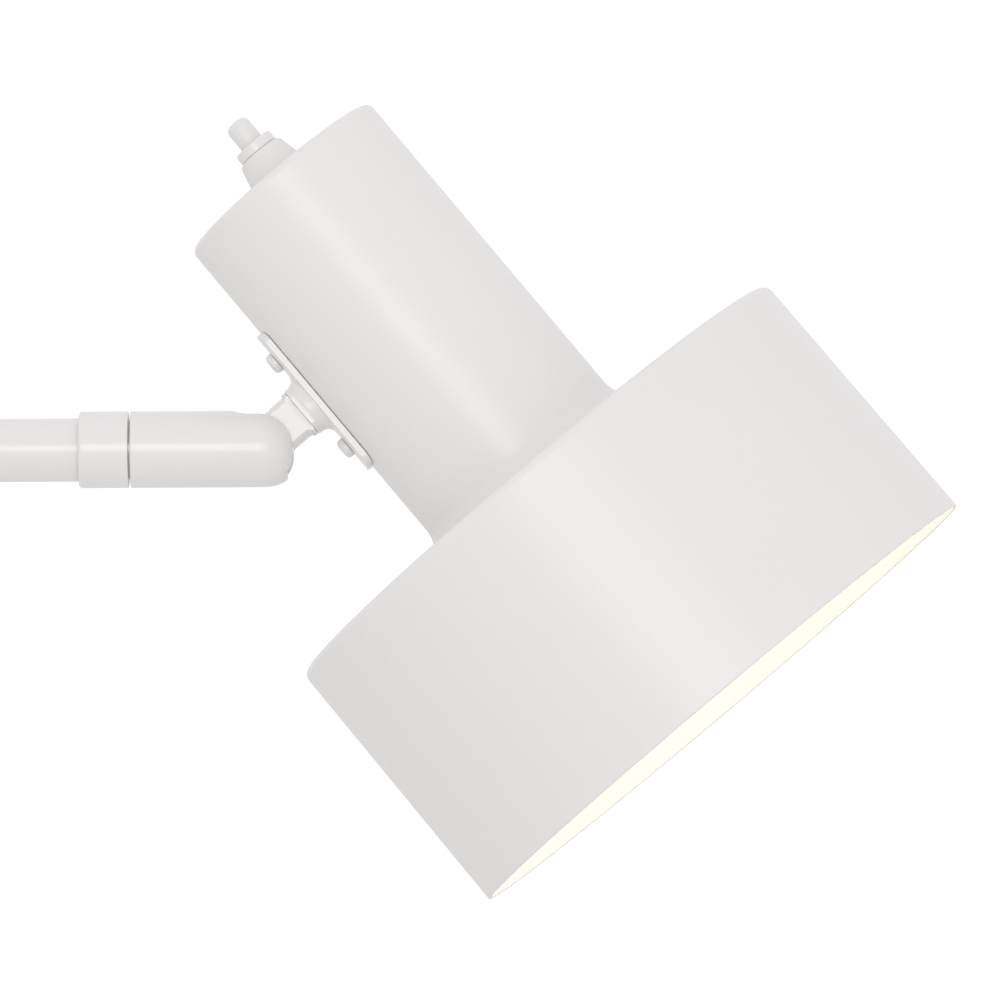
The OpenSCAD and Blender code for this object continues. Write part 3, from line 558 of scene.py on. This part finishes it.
# ---------- elbow ----------
# A hollow steel stem fixed in the upper hub, on which the lower hub turns.
# A white cup nut on its lower end holds the two arms together.
NUT_H, NUT_WEB, STEM_R = 5, 1.5, 6
finish_nodes(zinc_steel, "elbow_stem")
piece(
    "elbow_cup_nut",
    lathe([
        (0, 0, 0), (CAP_R, 0, 1.5), (CAP_R, NUT_H, 0.3), (STEM_R, NUT_H, 0.3), (STEM_R, NUT_WEB, 0),
        (0, NUT_WEB, 0),
    ], closed=False),
    upright("elbow_nut"), white_paint, "upper_arm", "white_paint", "elbow_nut",
)

# ---------- arm collar ----------
# A turned aluminium ring in white enamel, bonded on the arm's end, that the knuckle turns against.
# Its rear edge is rounded, and a fine chamfer at the tube shows as a dark line.
KNUCKLE_R = 9.7
COLLAR_L, COLLAR_WEB = 12.6, 3.2
CHAMFER_L, CHAMFER_W = 0.8, 0.5
collar_web_x = COLLAR_L - COLLAR_WEB
SPIGOT_R = 7.4
piece(
    "end_collar",
    lathe([
        (ARM_R, CHAMFER_L, 0), (ARM_R + CHAMFER_W, 0, 0.1), (KNUCKLE_R, 0, 0.9),
        (KNUCKLE_R, COLLAR_L, 0.25), (SPIGOT_R, COLLAR_L, 0.1), (SPIGOT_R, collar_web_x, 0),
        (ARM_R, collar_web_x, 0),
    ], 128),
    lying("arm_collar"), white_paint, "upper_arm", "white_paint", "arm_collar",
)
finish_nodes(zinc_steel, "roll_spigot")

# ---------- knuckle housing ----------
# A turned aluminium barrel with a domed nose, in white enamel, that rolls on the arm's spigot.
# It is milled with a slot for the tongue, open upwards and forwards, and its chin is left fuller.
HOUSING_L = 32.3
SPIGOT_BORE_R, SPIGOT_BORE_L = 7.45, 11
SLOT_HALF = 4.45
SLOT_END = -6.7
SLOT_FLOOR = -6.3
EYE_ROOM_R = 8.5
CHIN = 0.8
LIP_X = 7.4
TILT_SCREW_R, TILT_SCREW_END = 2.5, -7.5
POCKET_R, POCKET_Y = 4.4, 6.2
GRUB_R, GRUB_X = 1.5, 5
FLEX_HOLE_R = 3.05


def block(low, high):
    """A box between two corners"""
    shape = bmesh.new()
    size = Vector(high) - Vector(low)
    bmesh.ops.create_cube(
        shape, size=1,
        matrix=Matrix.Translation((Vector(low) + Vector(high)) / 2) @ Matrix.Diagonal((*size, 1)),
    )
    return shape


def across(corners, half):
    """A prism of a closed (x, z, rounding) outline, as wide as half on each side of Y"""
    shape = outline(corners, True)
    bmesh.ops.contextual_create(shape, geom=shape.edges[:])
    grown = bmesh.ops.extrude_face_region(shape, geom=shape.faces[:])
    bmesh.ops.translate(shape, verts=shape.verts[:], vec=(0, -half, 0))
    moved = [item for item in grown["geom"] if isinstance(item, bmesh.types.BMVert)]
    bmesh.ops.translate(shape, verts=moved, vec=(0, 2 * half, 0))
    bmesh.ops.recalc_face_normals(shape, faces=shape.faces[:])
    return shape


housing = turn(
    lathe([
        (0, SPIGOT_BORE_L, 0), (SPIGOT_BORE_R, SPIGOT_BORE_L, 0), (SPIGOT_BORE_R, 0, 0.2),
        (KNUCKLE_R, 0, 0.4), (KNUCKLE_R, HOUSING_L + KNUCKLE_R, KNUCKLE_R - 0.01),
        (0, HOUSING_L + KNUCKLE_R, 0),
    ], 128, False),
    (1, 0, 0), (-HOUSING_L, 0, 0),
)
for vert in housing.verts:
    radius = math.hypot(vert.co.y, vert.co.z)
    if 0 < vert.co.x < KNUCKLE_R - 0.05 and vert.co.z < 0:
        square = 2 - CHIN * vert.co.z / radius
        fuller = KNUCKLE_R * (1 - (vert.co.x / KNUCKLE_R) ** square) ** (1 / square)
        vert.co.y *= fuller / radius
        vert.co.z *= fuller / radius
slot_round_x = SLOT_END + SLOT_HALF
opening_x = slot_round_x - 0.3
room_start = math.acos(opening_x / EYE_ROOM_R)
room_end = math.tau - math.asin(-SLOT_FLOOR / EYE_ROOM_R)
arc = [room_start + (room_end - room_start) * step / 64 for step in range(65)]
opening = across(
    [(EYE_ROOM_R * math.cos(angle), EYE_ROOM_R * math.sin(angle), 0) for angle in arc]
    + [(LIP_X, SLOT_FLOOR, 0), (LIP_X, -20, 0), (20, -20, 0), (20, 20, 0), (opening_x, 20, 0)],
    SLOT_HALF,
)
housing = cut(
    housing,
    drill(TILT_SCREW_R, (0, TILT_SCREW_END, 0), (0, 1, 0), 20),
    drill(POCKET_R, (0, POCKET_Y, 0), (0, 1, 0), 10),
    drill(GRUB_R, (GRUB_X - HOUSING_L, 0, 0), (0, 1, 0), 20),
    drill(FLEX_HOLE_R, (-HOUSING_L - 1, 0, 0), (1, 0, 0), HOUSING_L - 4),
    opening,
    drill(SLOT_HALF, (slot_round_x, 0, 0), (0, 0, 1), 20, 96),
)
piece(
    "knuckle_barrel", housing, place(tilt_point), white_paint, "knuckle", "white_paint", "knuckle_housing",
    edge=0.2,
)

# ---------- knuckle screws ----------
# A socket head screw clamps the slot on the tongue and sets how stiffly the head tilts.
# A small grub screw runs in the spigot's groove and keeps the knuckle on the arm.
finish_nodes(zinc_steel, "knuckle_screw", "roll_grub_screw")

# ---------- tongue ----------
# A white enamelled casting: an eye that tilts in the slot, and a round stub with two milled flats.
# A hollow pin on its end goes through the plate, and the head swivels on it.
neck_up = -Vector(joints["button_press"]["axis"])
stub_out = Vector(joints["head_swivel"]["axis"])
head_place = place(tilt_point, neck_up, stub_out)
FLAT = 4.1
EYE_R = 8.3
STUB_R, STUB_L = 6, 13.1
PIN_R, PIN_END = 4, 27
FLEX_BORE_R = 2.05
WAY_HALF, WAY_Z, WAY_X = 2.1, 3.1, 8.5
TILT_BORE_R = 2.55
FILLET_R = 3
EYE_BLANK, TOE_BLANK = 7, 5
LIP_W, LIP_T = 0.6, 0.2


def flatted(shape):
    """Mills a round shape to the tongue's two flats"""
    return combine(shape, block((-30, -FLAT, -30), (60, FLAT, 30)), "INTERSECT")


stub = turn(
    lathe([
        (0, 0, 0), (STUB_R, 0, 0), (STUB_R, STUB_L - LIP_T, LIP_W), (STUB_R + LIP_W, STUB_L - LIP_T, 0),
        (STUB_R + LIP_W, STUB_L, 0), (0, STUB_L, 0),
    ], 96, False),
    (1, 0, 0),
)
eye = turn(
    lathe([
        (0, -EYE_BLANK, 0), (EYE_R, -EYE_BLANK, 0), (EYE_R, EYE_BLANK, 0), (0, EYE_BLANK, 0),
    ], 96, False),
    (0, 1, 0),
)
fillet_x = math.sqrt((EYE_R + FILLET_R) ** 2 - (STUB_R + FILLET_R) ** 2)
fillet_a = math.atan2(STUB_R + FILLET_R, fillet_x)
underside = across([
    (0, 0, 0), (EYE_R * math.cos(fillet_a), -EYE_R * math.sin(fillet_a), 0),
    (fillet_x - FILLET_R * math.tan((math.pi / 2 - fillet_a) / 2), 0.02 - STUB_R, FILLET_R - 0.05),
    (fillet_x, 0.02 - STUB_R, 0), (fillet_x, 0, 0),
], TOE_BLANK)
pin = turn(
    lathe([(0, 12, 0), (PIN_R, 12, 0), (PIN_R, PIN_END, 0.4), (0, PIN_END, 0)], 64, False), (1, 0, 0)
)
tongue = flatted(combine(combine(stub, eye, "UNION"), underside, "UNION"))
tongue = combine(tongue, pin, "UNION")
tongue = cut(
    tongue,
    drill(TILT_BORE_R, (0, -10, 0), (0, 1, 0), 20),
    drill(FLEX_BORE_R, (6, 0, 0), (1, 0, 0), 30),
    block((-20, -WAY_HALF, WAY_Z), (WAY_X, WAY_HALF, 20)),
    block((5, -WAY_HALF, 0), (WAY_X, WAY_HALF, 20)),
)
piece(
    "tilt_tongue", tongue, head_place, white_paint, "tongue", "white_paint", "knuckle_tongue", edge=0.15
)

# ---------- swivel washer ----------
# A white washer keyed on the tongue's flats, which the head's boss turns against.
# A wave washer and a nut on the pin, inside the neck, press the two together.
WASHER_R, WASHER_T = 6.75, 1
WASHER_BORE_R = PIN_R + 0.02
washer = turn(
    lathe([
        (WASHER_BORE_R, 0, 0), (WASHER_R, 0, 0.35), (WASHER_R, WASHER_T, 0.35),
        (WASHER_BORE_R, WASHER_T, 0),
    ]),
    (1, 0, 0), (STUB_L, 0, 0),
)
piece(
    "keyed_washer", flatted(washer), head_place, white_paint, "tongue", "white_paint", "swivel_washer",
    edge=0.08,
)
finish_nodes(zinc_steel, "swivel_spring_washer", "swivel_nut")

# ---------- mounting plate ----------
# A white enamelled casting, bent a little flatter than the neck, with a boss for the swivel.
# The boss flares into the plate, and its sides are relieved so that they clear the flats.
NECK_X = 48.5
NECK_R = 29.3
PLATE_L, PLATE_W, PLATE_T = 43.4, 15.2, 1.5
PLATE_CORNER, PLATE_EDGE = 3, 0.5
PLATE_BEND = 38
PLATE_X = NECK_X - NECK_R - PLATE_T
BOSS_R, BOSS_X = 6.95, 14.13
FLARE_R = 2.5
BUSH_R = 5.5
RELIEF_R, RELIEF_Y = 15.66, 5.6
SCREW_Z, SCREW_HOLE_R = 14, 1.6

sleeve = lathe([
    (PLATE_BEND, -PLATE_L, 0), (PLATE_BEND + PLATE_T, -PLATE_L, 0),
    (PLATE_BEND + PLATE_T, PLATE_L, 0), (PLATE_BEND, PLATE_L, 0),
], 360)
bmesh.ops.translate(sleeve, verts=sleeve.verts[:], vec=(NECK_X - NECK_R + PLATE_BEND, 0, 0))
blank = block((PLATE_X - 5, -PLATE_W / 2, -PLATE_L / 2), (PLATE_X + 10, PLATE_W / 2, PLATE_L / 2))
long_edges = [edge for edge in blank.edges if abs((edge.verts[0].co - edge.verts[1].co).x) > 1]
bmesh.ops.bevel(
    blank, geom=long_edges, offset=PLATE_CORNER, offset_type="OFFSET", affect="EDGES",
    segments=10, profile=0.5, material=-1,
)
plate = combine(blank, sleeve, "INTERSECT")
rim = [edge for edge in plate.edges if edge.calc_face_angle(0) > math.radians(60)]
bmesh.ops.bevel(
    plate, geom=rim, offset=PLATE_EDGE, offset_type="OFFSET", affect="EDGES",
    segments=4, profile=0.5, material=-1, clamp_overlap=True,
)

boss = turn(
    lathe([
        (BUSH_R, BOSS_X, 0), (BOSS_R, BOSS_X, 0.35), (BOSS_R, PLATE_X, FLARE_R),
        (BOSS_R + FLARE_R, PLATE_X, 0), (BOSS_R + FLARE_R, PLATE_X + 0.5, 0), (BUSH_R, PLATE_X + 0.5, 0),
    ], 128),
    (1, 0, 0),
)
narrow = (PLATE_W / 2 - 0.5) / (BOSS_R + FLARE_R)
for vert in boss.verts:
    share = min(1, max(0, (vert.co.x - PLATE_X + FLARE_R) / FLARE_R))
    vert.co.y *= 1 - (1 - narrow) * share ** 3
    vert.co.x += share * (PLATE_BEND + PLATE_T - math.sqrt((PLATE_BEND + PLATE_T) ** 2 - vert.co.y ** 2))
relief = cut(
    turn(drill(RELIEF_R, (0, 0, -10), (0, 0, 1), 20, 256), (0, 1, 0)),
    block((-20, -RELIEF_Y, -20), (20, RELIEF_Y, 20)),
)
plate = combine(plate, cut(boss, relief), "UNION")
plate = cut(
    plate,
    drill(BUSH_R, (0, 0, 0), (1, 0, 0), 30),
    *[drill(SCREW_HOLE_R, (PLATE_X - 1, 0, side * SCREW_Z), (1, 0, 0), 10) for side in (-1, 1)],
)
piece(
    "neck_plate", plate, head_place, white_paint, "head", "white_paint", "mounting_plate", edge=0.15
)

# ---------- plate screws ----------
# Two cross recessed pan head screws, painted white, that hold the plate on the neck.
# They go through plate and shade into the steel bracket inside.
SCREW_R, SCREW_HEAD_R, SCREW_HEAD_H = 1.5, 2.7, 2
SCREW_GRIP = 5.5
RECESS_L, RECESS_W, RECESS_DEPTH = 2.8, 0.7, 1.1
screws = lathe([
    (0, 0, 0), (SCREW_HEAD_R, 0, 1.2), (SCREW_HEAD_R, SCREW_HEAD_H, 0.1), (SCREW_R, SCREW_HEAD_H, 0),
    (SCREW_R, SCREW_HEAD_H + SCREW_GRIP, 0.3), (0, SCREW_HEAD_H + SCREW_GRIP, 0),
], 64, False)
screws = cut(
    screws,
    block((-RECESS_L / 2, -RECESS_W / 2, -1), (RECESS_L / 2, RECESS_W / 2, RECESS_DEPTH)),
    block((-RECESS_W / 2, -RECESS_L / 2, -1), (RECESS_W / 2, RECESS_L / 2, RECESS_DEPTH)),
)
turn(screws, (1, 0, 0), (PLATE_X - SCREW_HEAD_H, 0, SCREW_Z))
second = bmesh.ops.duplicate(screws, geom=screws.verts[:] + screws.edges[:] + screws.faces[:])
second = [item for item in second["geom"] if isinstance(item, bmesh.types.BMVert)]
bmesh.ops.translate(screws, verts=second, vec=(0, 0, -2 * SCREW_Z))
bmesh.ops.rotate(
    screws, verts=second, cent=(0, 0, -SCREW_Z), matrix=Matrix.Rotation(math.radians(32), 3, "X")
)
piece("pan_screws", screws, head_place, white_paint, "head", "white_paint", "plate_screws", edge=0.06)

# ---------- swivel bush and bracket ----------
# A nylon bush lines the boss, the neck's wall and the bracket, and turns on the tongue's pin.
# The bracket is pressed steel, zinc plated, and holds the lampholder in the middle of the neck.
finish_nodes(nylon, "swivel_bush")
finish_nodes(zinc_steel, "holder_bracket")

# ---------- shade ----------
# One spun aluminium shell in white enamel: a tall neck that sweeps out to a flat shoulder and a drum.
# Its top is pierced for the lampholder's cap, and its back for the screws and the swivel.
neck_place = place(tilt_point + stub_out * NECK_X * MM, neck_up, stub_out)
NECK_TOP = 49.4
NECK_L = 100.3
SHADE_H = 73.8
SHOULDER_R, MOUTH_R = 76.4, 77.1
SHADE_WALL = 1
CAP_HOLE_R = 9
SHOULDER_Z = NECK_TOP - NECK_L
MOUTH_Z = SHOULDER_Z - SHADE_H
inner_shoulder_z = SHOULDER_Z - SHADE_WALL
white_shade = enamel("white_shade", (0.83, 0.815, 0.811), (0.82, 0.805, 0.801), 0.27, 0)
shade = lathe([
    (CAP_HOLE_R, NECK_TOP, 0.3), (NECK_R, NECK_TOP, 1.9), (NECK_R, SHOULDER_Z, 7.6),
    (SHOULDER_R, SHOULDER_Z, 2.3), (MOUTH_R, MOUTH_Z, 0.45), (MOUTH_R - SHADE_WALL, MOUTH_Z, 0.45),
    (SHOULDER_R - SHADE_WALL, inner_shoulder_z, 1.3), (NECK_R - SHADE_WALL, inner_shoulder_z, 8.6),
    (NECK_R - SHADE_WALL, NECK_TOP - SHADE_WALL, 0.9),
    (CAP_HOLE_R, NECK_TOP - SHADE_WALL, 0.3),
], 256)
shade = cut(
    shade,
    drill(BUSH_R, (-NECK_X, 0, 0), (1, 0, 0), 25),
    *[drill(SCREW_HOLE_R, (-NECK_X, 0, side * SCREW_Z), (1, 0, 0), 25) for side in (-1, 1)],
)
piece("spun_shade", shade, neck_place, white_shade, "head", "white_shade", "shade_shell")

# ---------- lampholder ----------
# A white moulded lampholder that hangs on the bracket: a skirt with a thread for the shade ring,
# and a flared cap that screws on it and comes out through the top of the neck.
SKIRT_Z0, SEAT_Z, SKIRT_Z1 = -17, 24, 34
THREAD_R, HOLDER_R, HOLDER_IN = 17.5, 19, 16
THREAD_PITCH, THREAD_DEPTH = 2, 0.6
CAP_TOP, CAP_TIP_R = 57.8, 6.2
CAP_NECK_R, CAP_SHOULDER_Z, CAP_WALL = 8.5, 47.8, 1.5
CAP_THROAT_R, CAP_MOUTH_R = 7.2, 5
SWITCH_THREAD_R = 4
white_plastic, plastic_shader = speckled(
    "white_plastic", (0.82, 0.81, 0.805), (0.805, 0.795, 0.79), 0.34, 0.05, 1100, 40, 0.05, 0.00005
)
plastic_shader.inputs["Specular IOR Level"].default_value = 0.5
plastic_shader.inputs["Subsurface Weight"].default_value = 0.05
plastic_shader.inputs["Subsurface Radius"].default_value = (0.001, 0.001, 0.0008)


def ridges(crest, low, high, pitch, depth):
    """Corners of a rolled thread, from a low height to a high one"""
    turns = int((high - low) / pitch)
    return [
        (crest - depth * (step % 2), low + step * pitch / 2, 0.15 * pitch)
        for step in range(2 * turns + 1)
    ]


skirt = lathe([
    (HOLDER_IN, SKIRT_Z0, 0.3), (THREAD_R - THREAD_DEPTH, SKIRT_Z0, 0.3),
    *ridges(THREAD_R, SKIRT_Z0 + 1, SEAT_Z - 1, THREAD_PITCH, THREAD_DEPTH),
    (THREAD_R - THREAD_DEPTH, SEAT_Z, 0), (HOLDER_R, SEAT_Z, 0.4), (HOLDER_R, SKIRT_Z1, 0.3),
    (HOLDER_IN, SKIRT_Z1, 0.2),
])
skirt = cut(skirt, drill(FLEX_BORE_R, (24.6 - NECK_X, 10, 30), (0.92, -0.39, 0), 16))
piece(
    "holder_skirt", skirt, neck_place, white_plastic, "head", "white_plastic", "lampholder_body"
)
piece(
    "holder_cap",
    lathe([
        (SWITCH_THREAD_R, CAP_TOP, 0.3), (CAP_TIP_R, CAP_TOP, 1.6), (CAP_NECK_R, CAP_SHOULDER_Z, 0.8),
        (HOLDER_R, CAP_SHOULDER_Z, 9), (HOLDER_R, SKIRT_Z1, 0.3), (THREAD_R, SKIRT_Z1, 0.3),
        (THREAD_R, CAP_SHOULDER_Z - CAP_WALL, 7.5), (CAP_THROAT_R, CAP_SHOULDER_Z - CAP_WALL, 0.5),
        (CAP_MOUTH_R, CAP_TOP - CAP_WALL, 0.3), (SWITCH_THREAD_R, CAP_TOP - CAP_WALL, 0.2),
    ], 128),
    neck_place, white_plastic, "head", "white_plastic", "lampholder_cap",
)

# ---------- shade ring ----------
# A moulded white ring nut on the skirt's thread, which clamps the bracket's foot to the lampholder.
# Its rim is ribbed for the fingers.
RING_R, RING_H, RIBS, RIB_DEPTH = 21.5, 5, 28, 0.5
ring_z = SEAT_Z - 2 - RING_H
ring = lathe([
    (THREAD_R, ring_z, 0.2), (RING_R, ring_z, 0.6), (RING_R, ring_z + RING_H, 0.6),
    (THREAD_R, ring_z + RING_H, 0.2),
], RIBS * 6)
for vert in ring.verts:
    radius = math.hypot(vert.co.x, vert.co.y)
    if radius > RING_R - 0.1:
        notch = RIB_DEPTH * max(0, math.cos(RIBS * math.atan2(vert.co.y, vert.co.x)))
        vert.co.x *= 1 - notch / radius
        vert.co.y *= 1 - notch / radius
piece("ribbed_ring", ring, neck_place, white_plastic, "head", "white_plastic", "shade_ring")

# ---------- socket ----------
# A porcelain core holds a stamped brass screw shell and a sprung brass contact in its middle.
# The flex is screwed to their terminals behind the core.
porcelain, porcelain_shader = speckled(
    "porcelain", (0.80, 0.79, 0.74), (0.75, 0.74, 0.69), 0.55, 0.15, 1300, 70, 0.25, 0.0001
)
porcelain_shader.inputs["Specular IOR Level"].default_value = 0.4
brass, brass_shader = speckled(
    "brass", (0.72, 0.52, 0.23), (0.60, 0.42, 0.18), 0.28, 0.2, 1500, 110, 0.1, 0.00005
)
brass_shader.inputs["Metallic"].default_value = 1
finish_nodes(porcelain, "lampholder_core")
finish_nodes(brass, "screw_shell", "centre_contact")

# ---------- switch ----------
# A latching push switch in a white moulded barrel that hangs from the cap.
# A white ring nut on its threaded nose holds it in the cap's tip.
SWITCH_R, SWITCH_Z0, SWITCH_Z1, SPRING_Z0 = 8, 26, 44, 34
SWITCH_NUT_R, SWITCH_NUT_H = 5.4, 2.6
BUTTON_R, BUTTON_Z0, BUTTON_TIP = 3.2, 49.8, 67.4
switch_tip = CAP_TOP + SWITCH_NUT_H - 0.6
piece(
    "switch_barrel",
    lathe([
        (0, SWITCH_Z0, 0), (SWITCH_R, SWITCH_Z0, 0.5), (SWITCH_R, SWITCH_Z1, 0.5),
        (SWITCH_THREAD_R, SWITCH_Z1, 0.2), (SWITCH_THREAD_R, switch_tip, 0.2),
        (BUTTON_R + 0.05, switch_tip, 0.1), (BUTTON_R + 0.05, SPRING_Z0, 0), (0, SPRING_Z0, 0),
    ], 96, False),
    neck_place, nylon, "head", "nylon", "switch_body",
)
piece(
    "switch_ring_nut",
    lathe([
        (SWITCH_THREAD_R, CAP_TOP, 0.1), (SWITCH_NUT_R, CAP_TOP, 0.2),
        (SWITCH_NUT_R, CAP_TOP + SWITCH_NUT_H, 0.5), (SWITCH_THREAD_R, CAP_TOP + SWITCH_NUT_H, 0.3),
    ]),
    neck_place, white_paint, "head", "white_paint", "switch_nut",
)

# ---------- button ----------
# A moulded white push button with a domed tip, guided in the switch's nose.
# A small coil spring of zinc plated wire under it brings it back up; it is drawn at its rest length only.
piece(
    "push_button",
    lathe([
        (0, BUTTON_Z0, 0), (BUTTON_R, BUTTON_Z0, 0.3), (BUTTON_R, BUTTON_TIP, 1.8), (0, BUTTON_TIP, 0),
    ], 96, False),
    neck_place, white_plastic, "button", "white_plastic", "switch_button",
)
SPRING_R, SPRING_WIRE_R, SPRING_TURNS, SPRING_STEPS = 2.65, 0.3, 6, 144
spring_low, spring_high = SPRING_Z0 + SPRING_WIRE_R + 0.1, BUTTON_Z0 - SPRING_WIRE_R - 0.1
coil = bmesh.new()
bmesh.ops.create_circle(
    coil, cap_ends=False, segments=12, radius=SPRING_WIRE_R,
    matrix=Matrix.Translation((SPRING_R, 0, spring_low)) @ Matrix.Rotation(math.pi / 2, 4, "X"),
)
bmesh.ops.spin(
    coil, geom=coil.verts[:] + coil.edges[:], cent=(0, 0, 0), axis=(0, 0, 1),
    dvec=(0, 0, (spring_high - spring_low) / SPRING_STEPS), angle=math.tau * SPRING_TURNS,
    steps=SPRING_STEPS, use_merge=False, use_duplicate=False,
)
bmesh.ops.holes_fill(coil, edges=[edge for edge in coil.edges if edge.is_boundary], sides=0)
bmesh.ops.recalc_face_normals(coil, faces=coil.faces[:])
coil = piece("return_spring", coil, neck_place, zinc_steel, "head", "zinc_steel", "button_spring")
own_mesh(coil)

# ---------- bulb ----------
# A round opal bulb, lit, of warm white light, screwed into the socket by its drawn aluminium cap.
# The glow comes from the whole globe, and it lights the inside of the shade.
BULB_R, GLOBE_Z = 30, -66
GLASS_NECK_R, GLASS_TOP = 12.8, -17
GLASS_WALL = 0.9
BULB_CAP_R = 13.2
CONTACT_Z, CONTACT_R = 9, 4
CAP_PITCH, CAP_DEPTH = 3.6, 0.9
JOIN = math.radians(40)


def glass_corners(inset):
    """Corners of the globe and its neck, from the tip up, set in by a wall"""
    radius = BULB_R - inset
    neck = GLASS_NECK_R - inset
    join_x, join_z = radius * math.cos(JOIN), GLOBE_Z + radius * math.sin(JOIN)
    bend_z = join_z + (join_x - neck) / math.tan(JOIN)
    return [
        (0, GLOBE_Z - radius, 0), (radius, GLOBE_Z - radius, radius - 0.02),
        (radius, GLOBE_Z + radius * math.tan(JOIN / 2), radius - 0.05), (neck, bend_z, 24),
        (neck, GLASS_TOP, 0),
    ]


opal_glass, opal_shader = speckled(
    "opal_glass", (0.95, 0.90, 0.82), (0.93, 0.88, 0.80), 0.25, 0.05, 800, 30, 0.02, 0.0001
)
opal_shader.inputs["Emission Color"].default_value = (1.0, 0.91, 0.68, 1)
opal_shader.inputs["Emission Strength"].default_value = 4.3
opal_lining, lining_shader = speckled(
    "opal_lining", (0.90, 0.89, 0.86), (0.86, 0.85, 0.82), 0.6, 0.05, 900, 30, 0.02, 0.0001
)
lining_shader.inputs["Specular IOR Level"].default_value = 0.3
globe = lathe(glass_corners(0) + glass_corners(GLASS_WALL)[::-1], 128, False)
for face in globe.faces:
    middle = face.calc_center_median()
    face.material_index = int(face.normal.x * middle.x + face.normal.y * middle.y < 0)
globe = piece("opal_globe", globe, neck_place, opal_glass, "head", "opal_glass", "bulb_glass")
globe.data.materials.append(opal_lining)
bulb_metal, bulb_metal_shader = speckled(
    "bulb_metal", (0.72, 0.72, 0.72), (0.62, 0.62, 0.62), 0.3, 0.2, 1400, 90, 0.1, 0.00005
)
bulb_metal_shader.inputs["Metallic"].default_value = 1
piece(
    "bulb_screw_cap",
    lathe([
        (0, GLASS_TOP, 0), (BULB_CAP_R - 0.4, GLASS_TOP, 0.2),
        *ridges(BULB_CAP_R, GLASS_TOP + 3, CONTACT_Z - 4, CAP_PITCH, CAP_DEPTH),
        (BULB_CAP_R - 1, CONTACT_Z - 3, 0.3), (6, CONTACT_Z - 1, 0.5), (CONTACT_R, CONTACT_Z - 1, 0),
        (CONTACT_R, CONTACT_Z, 0.5), (0, CONTACT_Z, 0),
    ], 96, False),
    neck_place, bulb_metal, "head", "bulb_metal", "bulb_cap",
)
